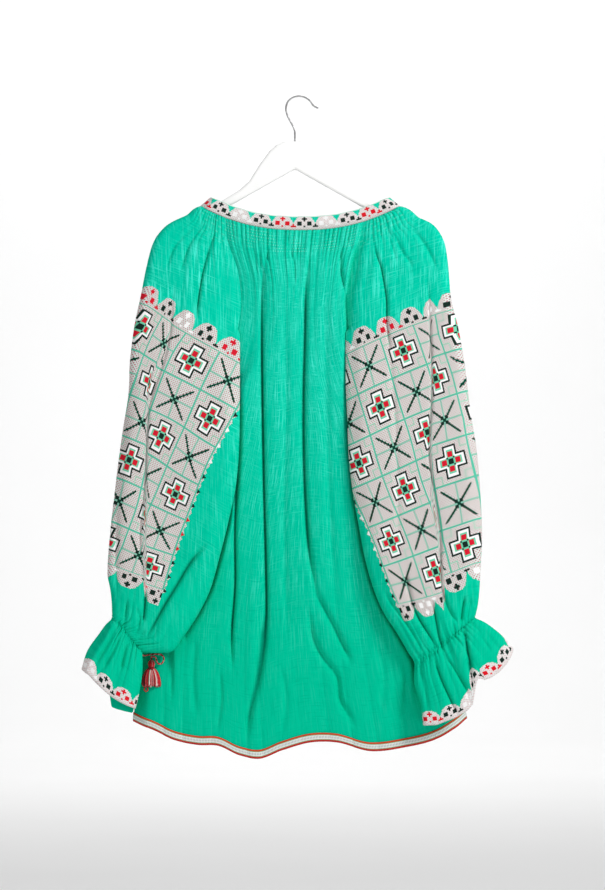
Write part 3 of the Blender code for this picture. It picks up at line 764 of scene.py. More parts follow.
def sweep(points, radius, sides, lobes=0, turns=0.0):
    """A closed tube along points, in mm; with lobes it is a twisted cord of that many plies."""
    line = np.array(points, float)
    ahead = np.gradient(line, axis=0)
    ahead /= np.linalg.norm(ahead, axis=1)[:, None]
    side = np.cross(ahead, [0.0, 1.0, 0.0])
    side /= np.linalg.norm(side, axis=1)[:, None] + 1e-9
    up = np.cross(side, ahead)
    along = lengths_along(line)
    angle = np.linspace(0.0, 2 * math.pi, sides, endpoint=False)
    radius = np.broadcast_to(np.asarray(radius, float), (len(line),))
    verts, marks = [], []
    for k in range(len(line)):
        twist = turns * 2 * math.pi * along[k] / along[-1]
        ply = np.abs(np.cos(lobes * (angle - twist) / 2)) if lobes else np.ones(sides)
        reach = radius[k] * (PLY_CORE + PLY_BULGE * ply)
        ring = line[k] + reach[:, None] * (
            np.cos(angle)[:, None] * side[k] + np.sin(angle)[:, None] * up[k]
        )
        verts.extend(ring.tolist())
        marks.extend([((a - twist) / (2 * math.pi), along[k]) for a in angle])
    faces = []
    for k in range(len(line) - 1):
        for j in range(sides):
            after = (j + 1) % sides
            here, ahead_of = k * sides, (k + 1) * sides
            faces.append((here + j, ahead_of + j, ahead_of + after, here + after))
    faces.append(tuple(range(sides)))
    last = (len(line) - 1) * sides
    faces.append(tuple(last + j for j in reversed(range(sides))))
    return verts, faces, marks


# Shader building

class Wires:
    """Places nodes in a node tree, so that a pattern reads as a formula."""

    def __init__(self, tree):
        self.tree = tree

    def node(self, kind, **values):
        made = self.tree.nodes.new(kind)
        for key, value in values.items():
            setattr(made, key, value)
        return made

    def put(self, socket, value):
        if isinstance(value, bpy.types.NodeSocket):
            self.tree.links.new(value, socket)
        else:
            socket.default_value = value

    def math(self, operation, *values):
        made = self.node("ShaderNodeMath", operation=operation)
        for socket, value in zip(made.inputs, values):
            self.put(socket, value)
        return made.outputs[0]

    def add(self, a, b):
        return self.math("ADD", a, b)

    def sub(self, a, b):
        return self.math("SUBTRACT", a, b)

    def mul(self, a, b):
        return self.math("MULTIPLY", a, b)

    def div(self, a, b):
        return self.math("DIVIDE", a, b)

    def size(self, a):
        return self.math("ABSOLUTE", a)

    def floor(self, a):
        return self.math("FLOOR", a)

    def less(self, a, b):
        return self.math("LESS_THAN", a, b)

    def more(self, a, b):
        return self.math("GREATER_THAN", a, b)

    def high(self, a, b):
        return self.math("MAXIMUM", a, b)

    def low(self, a, b):
        return self.math("MINIMUM", a, b)

    def modulo(self, a, b):
        return self.math("FLOORED_MODULO", a, b)

    def sine(self, a):
        return self.math("SINE", a)

    def fraction(self, a):
        return self.sub(a, self.floor(a))

    def step_middle(self, a):
        """The middle of the whole step that a lies in."""
        return self.add(self.floor(a), 0.5)

    def inverse(self, mask):
        return self.sub(1.0, mask)

    def near(self, a, centre, half):
        """1 where a is within half of centre."""
        return self.less(self.size(self.sub(a, centre)), half)

    def both(self, *masks):
        total = masks[0]
        for mask in masks[1:]:
            total = self.mul(total, mask)
        return total

    def either(self, *masks):
        total = masks[0]
        for mask in masks[1:]:
            total = self.high(total, mask)
        return total

    def mix(self, mask, below, above):
        made = self.node("ShaderNodeMix", data_type="RGBA")
        self.put(made.inputs["Factor"], mask)
        self.put(made.inputs["A"], below)
        self.put(made.inputs["B"], above)
        return made.outputs["Result"]

    def layers(self, base, *pairs):
        """The base colour with each (mask, colour) laid over it in turn."""
        for mask, colour in pairs:
            base = self.mix(mask, base, colour)
        return base

    def split(self, vector):
        made = self.node("ShaderNodeSeparateXYZ")
        self.put(made.inputs[0], vector)
        return made.outputs[0], made.outputs[1]

    def join(self, x, y, z=0.0):
        made = self.node("ShaderNodeCombineXYZ")
        for socket, value in zip(made.inputs, (x, y, z)):
            self.put(socket, value)
        return made.outputs[0]

    def noise(self, vector, scale, detail=2.0, roughness=0.5):
        made = self.node("ShaderNodeTexNoise")
        self.put(made.inputs["Vector"], vector)
        made.inputs["Scale"].default_value = scale
        made.inputs["Detail"].default_value = detail
        made.inputs["Roughness"].default_value = roughness
        return made.outputs["Fac"]

    def grain(self, place, scales, shift=0.0, detail=2.0, roughness=0.5):
        """Noise stretched along one way of the cloth; shift picks another part of it."""
        x, y = (self.mul(value, scale) for value, scale in zip(place, scales))
        return self.noise(self.join(x, y, shift), 1.0, detail, roughness)

    def ramp(self, value, low, high, to_low=0.0, to_high=1.0):
        made = self.node("ShaderNodeMapRange")
        self.put(made.inputs["Value"], value)
        keys = ("From Min", "From Max", "To Min", "To Max")
        for key, number in zip(keys, (low, high, to_low, to_high)):
            made.inputs[key].default_value = number
        return made.outputs[0]


def paint(*colour):
    return (*colour, 1.0)


# Colours that no setting changes
# Painted light: the first colour is the linen's painted paler top, the second its bright slubs,
# real slubs with painted sheen.
LINEN_TOP_PAINTED_LIGHT, LINEN_SLUB_AND_SHEEN = paint(0.0, 0.58, 0.41), paint(0.14, 0.99, 0.88)
# LINEN_DARK darkens the weave at random. The other colour on this line is painted shade, laid into
# the linen along its creases.
LINEN_DARK, PAINTED_FOLD_SHADE = paint(0.0, 0.16, 0.10), paint(0.0, 0.11, 0.065)
SMOCKING_THREAD = paint(0.42, 0.95, 0.80)
BLACK_SHADE, RED_SHADE = paint(0.012, 0.045, 0.03), paint(0.64, 0.018, 0.045)
GRID_GREEN, PALE_GREEN, STAR_GREEN = (
    paint(0.035, 0.53, 0.35), paint(0.17, 0.64, 0.42), paint(0.006, 0.062, 0.036)
)
GROUND_SHADE, GROUND_HOLE = paint(0.52, 0.40, 0.40), paint(0.30, 0.38, 0.34)
PINK_SPECK, GREEN_SPECK = paint(0.45, 0.115, 0.17), paint(0.28, 0.62, 0.48)
BORDER_GROUND, PIPING = paint(0.93, 0.88, 0.87), paint(0.62, 0.80, 0.70)
RIBBON_RIBS = paint(0.74, 0.76, 0.73), paint(0.34, 0.40, 0.38)
RIBBON_PINSTRIPE = paint(0.80, 0.82, 0.80)
RIBBON_GREEN = paint(0.05, 0.30, 0.16), paint(0.30, 0.42, 0.16)
RIBBON_LOWER = paint(0.42, 0.012, 0.014), paint(0.62, 0.05, 0.04)
RIBBON_UPPER = paint(0.52, 0.02, 0.015), paint(0.66, 0.10, 0.03)
# Painted light on the yarn: pink and white highlights and dark shade between strands, each given
# to whole strands.
YARN_DEEP, YARN_PINK_HIGHLIGHT = paint(0.30, 0.01, 0.015), paint(0.62, 0.16, 0.17)
YARN_WHITE_HIGHLIGHT, YARN_GAP_SHADE = paint(0.80, 0.66, 0.62), paint(0.05, 0.008, 0.010)
PLASTIC = paint(0.90, 0.90, 0.89), paint(0.95, 0.95, 0.94)
STEEL = paint(0.58, 0.58, 0.59), paint(0.72, 0.72, 0.72)
PAPER = paint(0.88, 0.88, 0.88), paint(0.92, 0.92, 0.92)


def shared(name):
    """Lets a function build its shader group once, and gives the same one after that."""
    def wrap(build):
        return lambda: bpy.data.node_groups.get(name) or build(name)
    return wrap


def new_group(name, inputs, outputs):
    """An empty shader group with named sockets."""
    kinds = {"v": "NodeSocketVector", "f": "NodeSocketFloat", "c": "NodeSocketColor"}
    tree = bpy.data.node_groups.new(name, "ShaderNodeTree")
    for label, kind in inputs:
        tree.interface.new_socket(name=label, in_out="INPUT", socket_type=kinds[kind])
    for label, kind in outputs:
        tree.interface.new_socket(name=label, in_out="OUTPUT", socket_type=kinds[kind])
    wires = Wires(tree)
    entry = wires.node("NodeGroupInput")
    leave = wires.node("NodeGroupOutput")
    return tree, wires, entry.outputs, leave.inputs


THREAD_PITCH = 0.0008


@shared("LinenWeave")
def linen_group(name):
    """Plain weave with slubs, and painted light: paler towards the top, where the slubs carry more
    painted sheen. Thread is the place on the cloth in metres.
    """
    tree, w, given, made = new_group(
        name, [("Thread", "v"), ("Colour", "c")],
        [("Colour", "c"), ("Height", "f"), ("Roughness", "f")],
    )
    place = w.split(given["Thread"])
    # Painted light: 1 at the top of the cloth and 0 lower down. The linen is painted paler there
    # and its slubs brighter.
    upper = w.ramp(place[1], 0.20, 0.66, 1.0, 0.0)
    warp = w.grain(place, (460.0, 24.0), 0.0, 3.0, 0.62)
    weft = w.grain(place, (26.0, 520.0), 5.0, 3.0, 0.62)
    wash = w.grain(place, (15.0, 9.0), 2.0, 3.0, 0.55)
    weft_slubs = w.mul(w.ramp(weft, 0.53, 0.72), w.add(w.mul(upper, 0.1), 0.6))
    streak = w.high(w.ramp(warp, 0.50, 0.68), weft_slubs)
    streak = w.mul(streak, w.ramp(wash, 0.32, 0.60, 0.30, 1.0))
    hollow = w.ramp(w.low(warp, weft), 0.26, 0.44, 1.0, 0.0)
    # Painted light: the base colour grows paler towards the top.
    base = w.mix(w.mul(upper, 0.55), given["Colour"], LINEN_TOP_PAINTED_LIGHT)
    # Bright slubs: real slubs with painted sheen, stronger towards the top.
    slub_and_sheen = w.mix(w.add(w.mul(upper, 0.54), 0.07), base, LINEN_SLUB_AND_SHEEN)
    darker = w.mix(0.35, base, LINEN_DARK)
    threaded = w.mix(w.mul(streak, 0.95), base, slub_and_sheen)
    w.put(made["Colour"], w.mix(w.mul(hollow, 0.75), threaded, darker))
    over, under = (w.sine(w.mul(way, math.pi / THREAD_PITCH)) for way in place)
    threads = w.add(w.mul(w.mul(over, under), 0.25), w.mul(w.add(warp, weft), 0.8))
    w.put(made["Height"], threads)
    w.put(made["Roughness"], w.ramp(wash, 0.2, 0.8, 0.78, 0.9))
    return tree


# How many stitches lie between the shaded dots of the ground
DOT_PITCH = 1.5


@shared("CrossStitches")
def stitch_group(name):
    """One cross-stitch after another. Stitches is the place counted in stitches."""
    tree, w, given, made = new_group(
        name, [("Stitches", "v")],
        [("Height", "f"), ("Hole", "f"), ("Shade", "f"), ("Dots", "f")],
    )
    x, y = w.split(given["Stitches"])
    fx, fy = w.fraction(x), w.fraction(y)
    rising = w.size(w.sub(fx, fy))
    falling = w.size(w.sub(w.add(fx, fy), 1.0))
    legs = w.low(rising, falling)
    w.put(made["Height"], w.ramp(legs, 0.0, 0.36, 1.0, 0.0))
    off_x, off_y = w.size(w.sub(fx, 0.5)), w.size(w.sub(fy, 0.5))
    corner = w.add(w.high(off_x, off_y), w.mul(w.low(off_x, off_y), 0.6))
    w.put(made["Hole"], w.more(corner, 0.62))
    cell = w.floor(x), w.floor(y)
    each = w.node("ShaderNodeTexWhiteNoise", noise_dimensions="2D")
    w.put(each.inputs["Vector"], w.join(*cell))
    checker = w.modulo(w.add(*cell), 2.0)
    w.put(made["Shade"], w.add(w.mul(each.outputs["Value"], 0.30), w.mul(checker, 0.70)))
    wave_x, wave_y = (w.sine(w.mul(place, math.pi / DOT_PITCH)) for place in (x, y))
    w.put(made["Dots"], w.mul(wave_x, wave_y))
    return tree


@shared("ScallopBorder")
def border_group(name):
    """The small scalloped border: a plus on each scallop, two squares, a dot, and a foot between.

    Along, Rise, Pitch, Crown (the plus's height) and Valley are in mm, and Across and Up are
    the size of a stitch in mm. Squares is how many stitches the squares lie below the plus.
    """
    labels = ("Along", "Rise", "Pitch", "Crown", "Valley", "Across", "Up", "Foot", "Squares")
    tree, w, given, made = new_group(
        name,
        [(label, "f") for label in labels],
        [("Motif", "f"), ("Ground", "f"), ("Red", "f"), ("White", "f")],
    )
    pitch, crown, across, up = given["Pitch"], given["Crown"], given["Across"], given["Up"]
    turns = w.div(given["Along"], pitch)
    number, between = w.floor(w.add(turns, 0.5)), w.floor(turns)

    def stitches_from(middle):
        away = w.mul(w.size(w.sub(turns, middle)), pitch)
        return w.step_middle(w.div(away, across))

    x, foot_x = stitches_from(number), stitches_from(w.add(between, 0.5))
    drop = w.step_middle(w.div(w.sub(crown, given["Rise"]), up))
    plus = w.either(
        w.both(w.less(x, 1.0), w.less(w.size(drop), 3.0)),
        w.both(w.less(x, 3.0), w.less(w.size(drop), 1.0)),
    )
    squares = w.both(w.near(x, 5.5, 2.5), w.near(drop, given["Squares"], 2.5))
    low_row = w.add(given["Squares"], 3.5)
    dot = w.both(w.less(x, 1.0), w.near(drop, low_row, 1.0))
    foot = w.either(
        w.both(w.less(foot_x, 3.0), w.near(drop, low_row, 1.0)),
        w.both(w.less(foot_x, 1.0), w.near(w.sub(low_row, drop), 2.0, 1.0)),
    )
    own = w.add(w.mul(number, w.inverse(foot)), w.mul(w.add(between, given["Foot"]), foot))
    own = w.modulo(own, 4.0)
    w.put(made["Motif"], w.either(plus, squares, dot, foot))
    w.put(made["Red"], w.less(own, 0.5))
    w.put(made["White"], w.near(own, 2.0, 0.5))
    slope = w.inverse(w.math("POWER", w.div(w.mul(w.mul(x, across), 2.0), pitch), 2.8))
    peak = w.add(crown, w.mul(up, 4.0))
    edge = w.add(given["Valley"], w.mul(w.sub(peak, given["Valley"]), slope))
    w.put(made["Ground"], w.less(w.sub(crown, w.mul(drop, up)), edge))
    return tree


@shared("SleeveChart")
def chart_group(name):
    """The sleeve's chart: cells with a cross and cells with a star, by turns.

    Count is how many stitches a cell is wide. All sizes inside are in stitches.
    """
    tree, w, given, made = new_group(
        name,
        [("Out", "f"), ("Down", "f"), ("First", "f"), ("Count", "f")],
        [(label, "f") for label in ("Black", "Red", "White", "Green", "Pale", "Star")],
    )
    out_cell = w.floor(w.add(given["Out"], 0.5))
    down_cell = w.floor(w.add(given["Down"], 0.5))
    p = w.mul(w.size(w.sub(given["Out"], out_cell)), given["Count"])
    q = w.mul(w.size(w.sub(given["Down"], down_cell)), given["Count"])
    far, close = w.high(p, q), w.low(p, q)
    parity = w.modulo(w.add(w.add(out_cell, down_cell), given["First"]), 2.0)
    star, cross = w.more(parity, 0.5), w.less(parity, 0.5)

    def arms(reach, half):
        return w.both(w.less(far, reach), w.less(close, half))

    outline = w.both(arms(18.0, 8.0), w.inverse(arms(16.0, 6.0)))
    band = w.both(arms(16.0, 6.0), w.inverse(arms(13.0, 4.0)))
    petals = w.both(w.near(far, 8.0, 3.0), w.less(close, 3.0))
    heart = w.less(far, 3.0)
    ties = w.both(w.near(p, 4.0, 1.0), w.near(q, 4.0, 1.0))
    corner = w.both(w.near(close, 13.5, 0.6), w.more(far, 13.0))
    grid = w.more(far, w.sub(w.mul(given["Count"], 0.5), 1.0))
    slant = w.size(w.sub(p, q))
    step = w.less(w.modulo(w.floor(far), 3.0), 0.5)
    stepped = w.either(w.less(slant, 1.6), w.both(w.less(slant, 2.6), step))
    arm = w.both(star, stepped, w.less(far, 18.0))
    blobs = w.both(w.near(p, 3.0, 2.0), w.near(q, 3.0, 2.0))
    axis = w.less(close, 1.0)
    black = w.either(
        w.both(cross, w.either(outline, heart, ties)),
        w.both(star, blobs),
    )
    w.put(made["Black"], black)
    w.put(made["Star"], arm)
    w.put(made["Red"], w.both(cross, petals))
    w.put(made["White"], w.both(cross, band))
    w.put(made["Green"], w.either(w.mul(grid, 0.9), w.mul(w.both(star, axis), 0.65)))
    inside = w.both(cross, arms(13.0, 4.0))
    w.put(made["Pale"], w.either(inside, w.mul(w.both(cross, corner), 0.8)))
    return tree


def place_group(w, tree, **values):
    made = w.node("ShaderNodeGroup", node_tree=tree)
    for key, value in values.items():
        w.put(made.inputs[key], value)
    return made.outputs


def new_material(name, roughness=0.8, sheen=0.0):
    material = bpy.data.materials.new(name)
    material.use_nodes = True
    shader = material.node_tree.nodes["Principled BSDF"]
    shader.inputs["Roughness"].default_value = roughness
    shader.inputs["Sheen Weight"].default_value = sheen
    shader.inputs["Specular IOR Level"].default_value = 0.5 if roughness < 0.5 else 0.0
    return material, Wires(material.node_tree), shader


def uv(w, name):
    return w.node("ShaderNodeUVMap", uv_map=name).outputs[0]


def bump_into(w, shader, height, strength, distance):
    made = w.node("ShaderNodeBump")
    made.inputs["Strength"].default_value = strength
    made.inputs["Distance"].default_value = distance
    w.put(made.inputs["Height"], height)
    w.put(shader.inputs["Normal"], made.outputs[0])


LINEN_RELIEF = 0.3
# The gathering thread, in metres: the rows' start and pitch, and a dash's pitch.
SMOCK_START, SMOCK_ROW, SMOCK_ROWS, SMOCK_DASH = 0.0035, 0.0042, 7.0, 0.0098


def smocking(w, thread):
    """Pale dashes of gathering thread in rows below the neckband."""
    place = across, down = w.split(thread)
    row = w.div(w.sub(down, SMOCK_START), SMOCK_ROW)
    in_rows = w.both(w.more(row, 0.0), w.less(row, SMOCK_ROWS))
    line = w.near(w.fraction(row), 0.5, 0.16)
    turn = w.add(w.mul(across, 1 / SMOCK_DASH), w.mul(w.floor(row), 0.5))
    dash = w.less(w.math("FRACT", turn), 0.48)
    patch = w.ramp(w.grain(place, (22.0, 50.0), 9.0, 1.0), 0.40, 0.62)
    return w.both(in_rows, line, dash, patch)


def stitched_colour(w, stitches, ground, depth):
    """Ground thread, with the shades between its stitches as strong as depth."""
    shade = w.ramp(stitches["Shade"], 0.0, 1.0, 0.0, 0.25 * depth)
    pink = w.ramp(stitches["Dots"], 0.12, 0.42, 0.0, depth)
    green = w.ramp(stitches["Dots"], -0.12, -0.45, 0.0, 0.45 * depth)
    hole = w.mul(stitches["Hole"], 0.30 * depth)
    return w.layers(
        ground, (shade, GROUND_SHADE), (pink, PINK_SPECK), (green, GREEN_SPECK),
        (hole, GROUND_HOLE),
    )


def stitched_height(w, height, mask, stitches):
    """The cloth's height, with raised stitches where the mask is 1."""
    return w.add(w.mul(height, w.inverse(mask)), w.mul(mask, w.add(stitches["Height"], 0.4)))


def linen_material(name, sleeve=None):
    """Green linen. With a sleeve's chart it carries the stitched panel and the frill's border."""
    chosen = settings()
    material, w, shader = new_material(name, 0.85)
    thread = uv(w, "Thread")
    linen = place_group(w, linen_group(), Thread=thread, Colour=paint(*chosen.linen))
    dashes = smocking(w, thread)
    seen = 0.27 if sleeve is None else 0.10
    # Painted shade: the linen is darkened where the Folds map says a crease is deep.
    fold = w.split(uv(w, "Folds"))[0]
    colour = w.layers(
        linen["Colour"], (w.mul(dashes, seen), SMOCKING_THREAD),
        (w.ramp(fold, 0.08, 0.55, 0.72, 0.0), PAINTED_FOLD_SHADE),
    )
    height = w.add(w.mul(linen["Height"], LINEN_RELIEF), w.mul(dashes, 0.3))
    if sleeve is not None:
        colour, height = embroider(w, colour, height, sleeve, chosen)
    w.put(shader.inputs["Base Color"], colour)
    w.put(shader.inputs["Roughness"], linen["Roughness"])
    bump_into(w, shader, height, 0.55, 0.0006)
    return material


def embroider(w, colour, height, sleeve, chosen):
    """The sleeve's panel of cells with its scallops and teeth, and the frill's border."""
    count = 2 * round(CELL * MM / chosen.stitch / 2)
    stitch_out, stitch_down = (w.mul(way, count) for way in w.split(uv(w, "Cells")))
    out, down = (w.div(w.step_middle(way), count) for way in (stitch_out, stitch_down))
    stitches = place_group(w, stitch_group(), Stitches=w.join(stitch_out, stitch_down))
    chart = place_group(
        w, chart_group(), Out=out, Down=down, First=float(sleeve.first_cross),
        Count=float(count),
    )
    rise = w.mul(w.sub(w.size(w.sub(down, 2.5)), 3.0), CELL)
    along = w.mul(w.sub(out, sleeve.scallop), CELL)
    edge = place_group(
        w, border_group(), Along=along, Rise=rise, Pitch=SCALLOP_PITCH, Crown=20.5, Valley=6.5,
        Across=SCALLOP_STITCH, Up=SCALLOP_STITCH, Foot=float(sleeve.foot), Squares=7.5,
    )
    aside = w.mul(w.sub(w.size(w.sub(out, 2.5)), 3.03), CELL)
    tooth = w.math("PINGPONG", w.mul(down, CELL), 5.7)
    in_side = w.less(aside, w.mul(tooth, 0.55))
    mark_turn = w.div(w.sub(down, sleeve.tooth_start), TOOTH_STEP)
    mark = w.floor(w.add(mark_turn, 0.5))
    mark_x = w.mul(w.size(w.sub(mark_turn, mark)), TOOTH_STEP * CELL)
    marks = w.both(w.more(aside, -0.6), w.less(w.add(w.mul(mark_x, 1.5), aside), 5.4))
    group = w.modulo(w.floor(w.div(w.add(mark, 0.5), 3.0)), 4.0)
    in_cells = w.both(w.less(rise, 0.0), w.less(aside, -1.0))
    in_scallops = w.both(w.more(rise, 0.0), edge["Ground"], w.less(aside, 0.0))
    in_teeth = w.both(w.less(rise, 4.0), in_side)
    panel = w.either(in_cells, in_scallops, in_teeth)
    marks = w.both(marks, w.less(rise, 2.0))
    motif = w.both(edge["Motif"], w.more(rise, 0.0), w.less(aside, 1.0))
    black_thread = w.mix(stitches["Shade"], paint(*chosen.black), BLACK_SHADE)
    red_thread = w.mix(stitches["Shade"], paint(*chosen.red), RED_SHADE)
    white = paint(*chosen.white)
    cell_colours = (
        ("Green", GRID_GREEN), ("Pale", PALE_GREEN), ("White", white), ("Red", red_thread),
        ("Star", STAR_GREEN), ("Black", black_thread),
    )
    threads = w.layers(
        stitched_colour(w, stitches, paint(*chosen.ground), 1.0),
        *((w.both(chart[key], in_cells), thread) for key, thread in cell_colours),
        (motif, w.layers(black_thread, (edge["Red"], red_thread), (edge["White"], white))),
    )
    red_marks, white_marks = float(sleeve.tooth_red), float(4 - sleeve.tooth_red)
    mark_colour = w.layers(
        black_thread, (w.near(group, red_marks, 0.5), red_thread),
        (w.near(group, white_marks, 0.5), white),
    )
    colour = w.layers(colour, (panel, threads), (marks, mark_colour))
    height = stitched_height(w, height, w.high(panel, marks), stitches)
    return frill_border(w, colour, height, chosen)


BORDER_DEPTH = 0.45


def frill_border(w, colour, height, chosen):
    """The border along the frill's hem, from the map that counts in mm from the hem."""
    along, rise = w.split(uv(w, "Border"))
    stitches = place_group(
        w, stitch_group(),
        Stitches=w.join(w.div(along, BAND_STITCH_ACROSS), w.div(rise, BAND_STITCH_UP)),
    )
    edge = place_group(
        w, border_group(), Along=along, Rise=rise, Pitch=BAND_PITCH, Crown=16.0, Valley=9.5,
        Across=BAND_STITCH_ACROSS, Up=BAND_STITCH_UP, Foot=0.0, Squares=5.5,
    )
    accent = w.layers(
        w.mix(stitches["Shade"], paint(*chosen.black), BLACK_SHADE),
        (edge["Red"], paint(*chosen.red)), (edge["White"], paint(*chosen.white)),
    )
    threads = w.mix(
        edge["Motif"], stitched_colour(w, stitches, BORDER_GROUND, BORDER_DEPTH), accent
    )
    colour = w.mix(edge["Ground"], colour, threads)
    return colour, stitched_height(w, height, edge["Ground"], stitches)


PIPING_WIDTH = 1.2


def band_material():
    """The neckband: green linen with the scalloped border and a pale piping on its upper edge."""
    chosen = settings()
    material, w, shader = new_material("neckband_stitching", 0.85, 0.1)
    linen = place_group(w, linen_group(), Thread=uv(w, "Thread"), Colour=paint(*chosen.linen))
    relief = w.mul(linen["Height"], LINEN_RELIEF)
    colour, height = frill_border(w, linen["Colour"], relief, chosen)
    rise = w.split(uv(w, "Border"))[1]
    piping = w.more(rise, BAND_HEIGHT - PIPING_WIDTH)
    w.put(shader.inputs["Base Color"], w.mix(piping, colour, PIPING))
    bump_into(w, shader, height, 0.6, 0.0006)
    return material


RIB_PITCH = 2.2


def ribbon_material():
    """The woven tape: red edges, a green line inside each, and a ribbed pale middle."""
    material, w, shader = new_material("woven_ribbon", 0.7, 0.1)
    place = along, rise = w.split(uv(w, "Border"))
    rib = w.sine(w.mul(along, 2 * math.pi / RIB_PITCH))
    fine = w.grain(place, (0.8, 2.0))
    pinstripes = w.either(w.near(rise, 4.8, 0.4), w.near(rise, 8.9, 0.4))
    green_line = w.mix(fine, *RIBBON_GREEN)
    colour = w.layers(
        RIBBON_RIBS[0], (w.ramp(rib, -0.6, 0.8, 0.0, 0.9), RIBBON_RIBS[1]),
        (pinstripes, RIBBON_PINSTRIPE),
        (w.less(rise, 3.7), green_line), (w.more(rise, 9.7), green_line),
        (w.less(rise, 2.9), w.mix(fine, *RIBBON_LOWER)),
        (w.more(rise, 10.6), w.mix(fine, *RIBBON_UPPER)),
    )
    w.put(shader.inputs["Base Color"], colour)
    bump_into(w, shader, w.add(w.mul(rib, 0.4), fine), 0.6, 0.0004)
    return material


def yarn_material():
    """Crimson yarn whose strands take painted highlights of pink and white, and painted dark
    shade. The map's first number picks the strand's tone.
    """
    chosen = settings()
    material, w, shader = new_material("crimson_yarn", 0.8, 0.25)
    place = w.split(uv(w, "Strand"))
    pick = w.math("FRACT", place[0])
    fuzz = w.grain(place, (9.0, 0.9), 0.0, 3.0)
    # Painted highlights in pink and white, and painted shade in dark red, chosen by the strand's
    # tone.
    colour = w.layers(
        w.mix(fuzz, YARN_DEEP, paint(*chosen.red)), (w.near(pick, 0.42, 0.10), YARN_PINK_HIGHLIGHT),
        (w.near(pick, 0.67, 0.035), YARN_WHITE_HIGHLIGHT), (w.near(pick, 0.90, 0.10), YARN_GAP_SHADE),
    )
    w.put(shader.inputs["Base Color"], colour)
    bump_into(w, shader, fuzz, 0.5, 0.0004)
    return material


# Pieces

def in_metres(weft, warp):
    return np.stack([weft * MM, warp * MM], axis=2)


class TUNIC_OT_hanger(bpy.types.Operator):
    """Gives the hanger its satin plastic and its bright wire hook"""

    bl_idname = "tunic.hanger"
    bl_label = "Finish hanger"

    def execute(self, context):
        plastic, w, shader = new_material("satin_white_plastic", 0.38)
        place = w.node("ShaderNodeTexCoord").outputs["Object"]
        scuff = w.noise(place, 60.0, 4.0)
        w.put(shader.inputs["Base Color"], w.mix(scuff, *PLASTIC))
        w.put(shader.inputs["Roughness"], w.ramp(scuff, 0.3, 0.7, 0.32, 0.46))
        bump_into(w, shader, w.noise(place, 900.0, 2.0), 0.12, 0.0003)
        steel, w, shader = new_material("bright_wire", 0.24)
        shader.inputs["Metallic"].default_value = 1.0
        place = w.node("ShaderNodeTexCoord").outputs["Object"]
        drawn = w.noise(place, 240.0, 3.0)
        w.put(shader.inputs["Base Color"], w.mix(drawn, *STEEL))
        w.put(shader.inputs["Roughness"], w.ramp(drawn, 0.3, 0.7, 0.18, 0.34))
        for node, finish in (("hanger_body", plastic), ("hanger_hook", steel)):
            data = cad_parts[node].data
            data.materials.clear()
            data.materials.append(finish)
        return {"FINISHED"}


Panel = namedtuple("Panel", "name depth rows columns")
PANELS = (Panel("back_panel", BACK_Y, 132, 344), Panel("front_panel", FRONT_Y, 110, 230))
# start: how far below the neckband the gathers are strongest. height: None is the Gather
# setting. bound: the share of them that stays where a sleeve lies on the panel.
BodyGathers = namedtuple("BodyGathers", "start pitch height reach seed bound")
BODY_GATHERS = [BodyGathers(*row) for row in (
    (0.0, 6.4, None, 54.0, 3, 1.0), (0.0, 13.0, 2.2, 84.0, 5, 0.35),
    (0.0, 27.0, 0.7, 300.0, 9, 0.0), (780.0, 17.0, 1.8, 260.0, 7, 0.0),
)]
PANEL_WIDTH, PANEL_LENGTH, PANEL_AREA = 560.0, 770.0, 0.33
TAPE_LENGTH, TAPE_WALL, TAPE_BULGE, TAPE_LAP = 500.0, 0.6, 0.35, 0.5
TAPE_STEPS = (0.0, 3.2, 6.5, 9.8, TAPE_WIDTH)


def body_roughness(u, width, below, free, gather):
    """The gathers below the neckband and the fine folds above the hem."""
    rough = np.zeros(u.shape)
    for kind in BODY_GATHERS:
        height = gather if kind.height is None else kind.height
        start = below - kind.start
        ridges = gathers(u * width, start, kind.pitch, height, kind.reach, kind.seed)
        rough += ridges * (kind.bound + (1 - kind.bound) * free)
    return rough


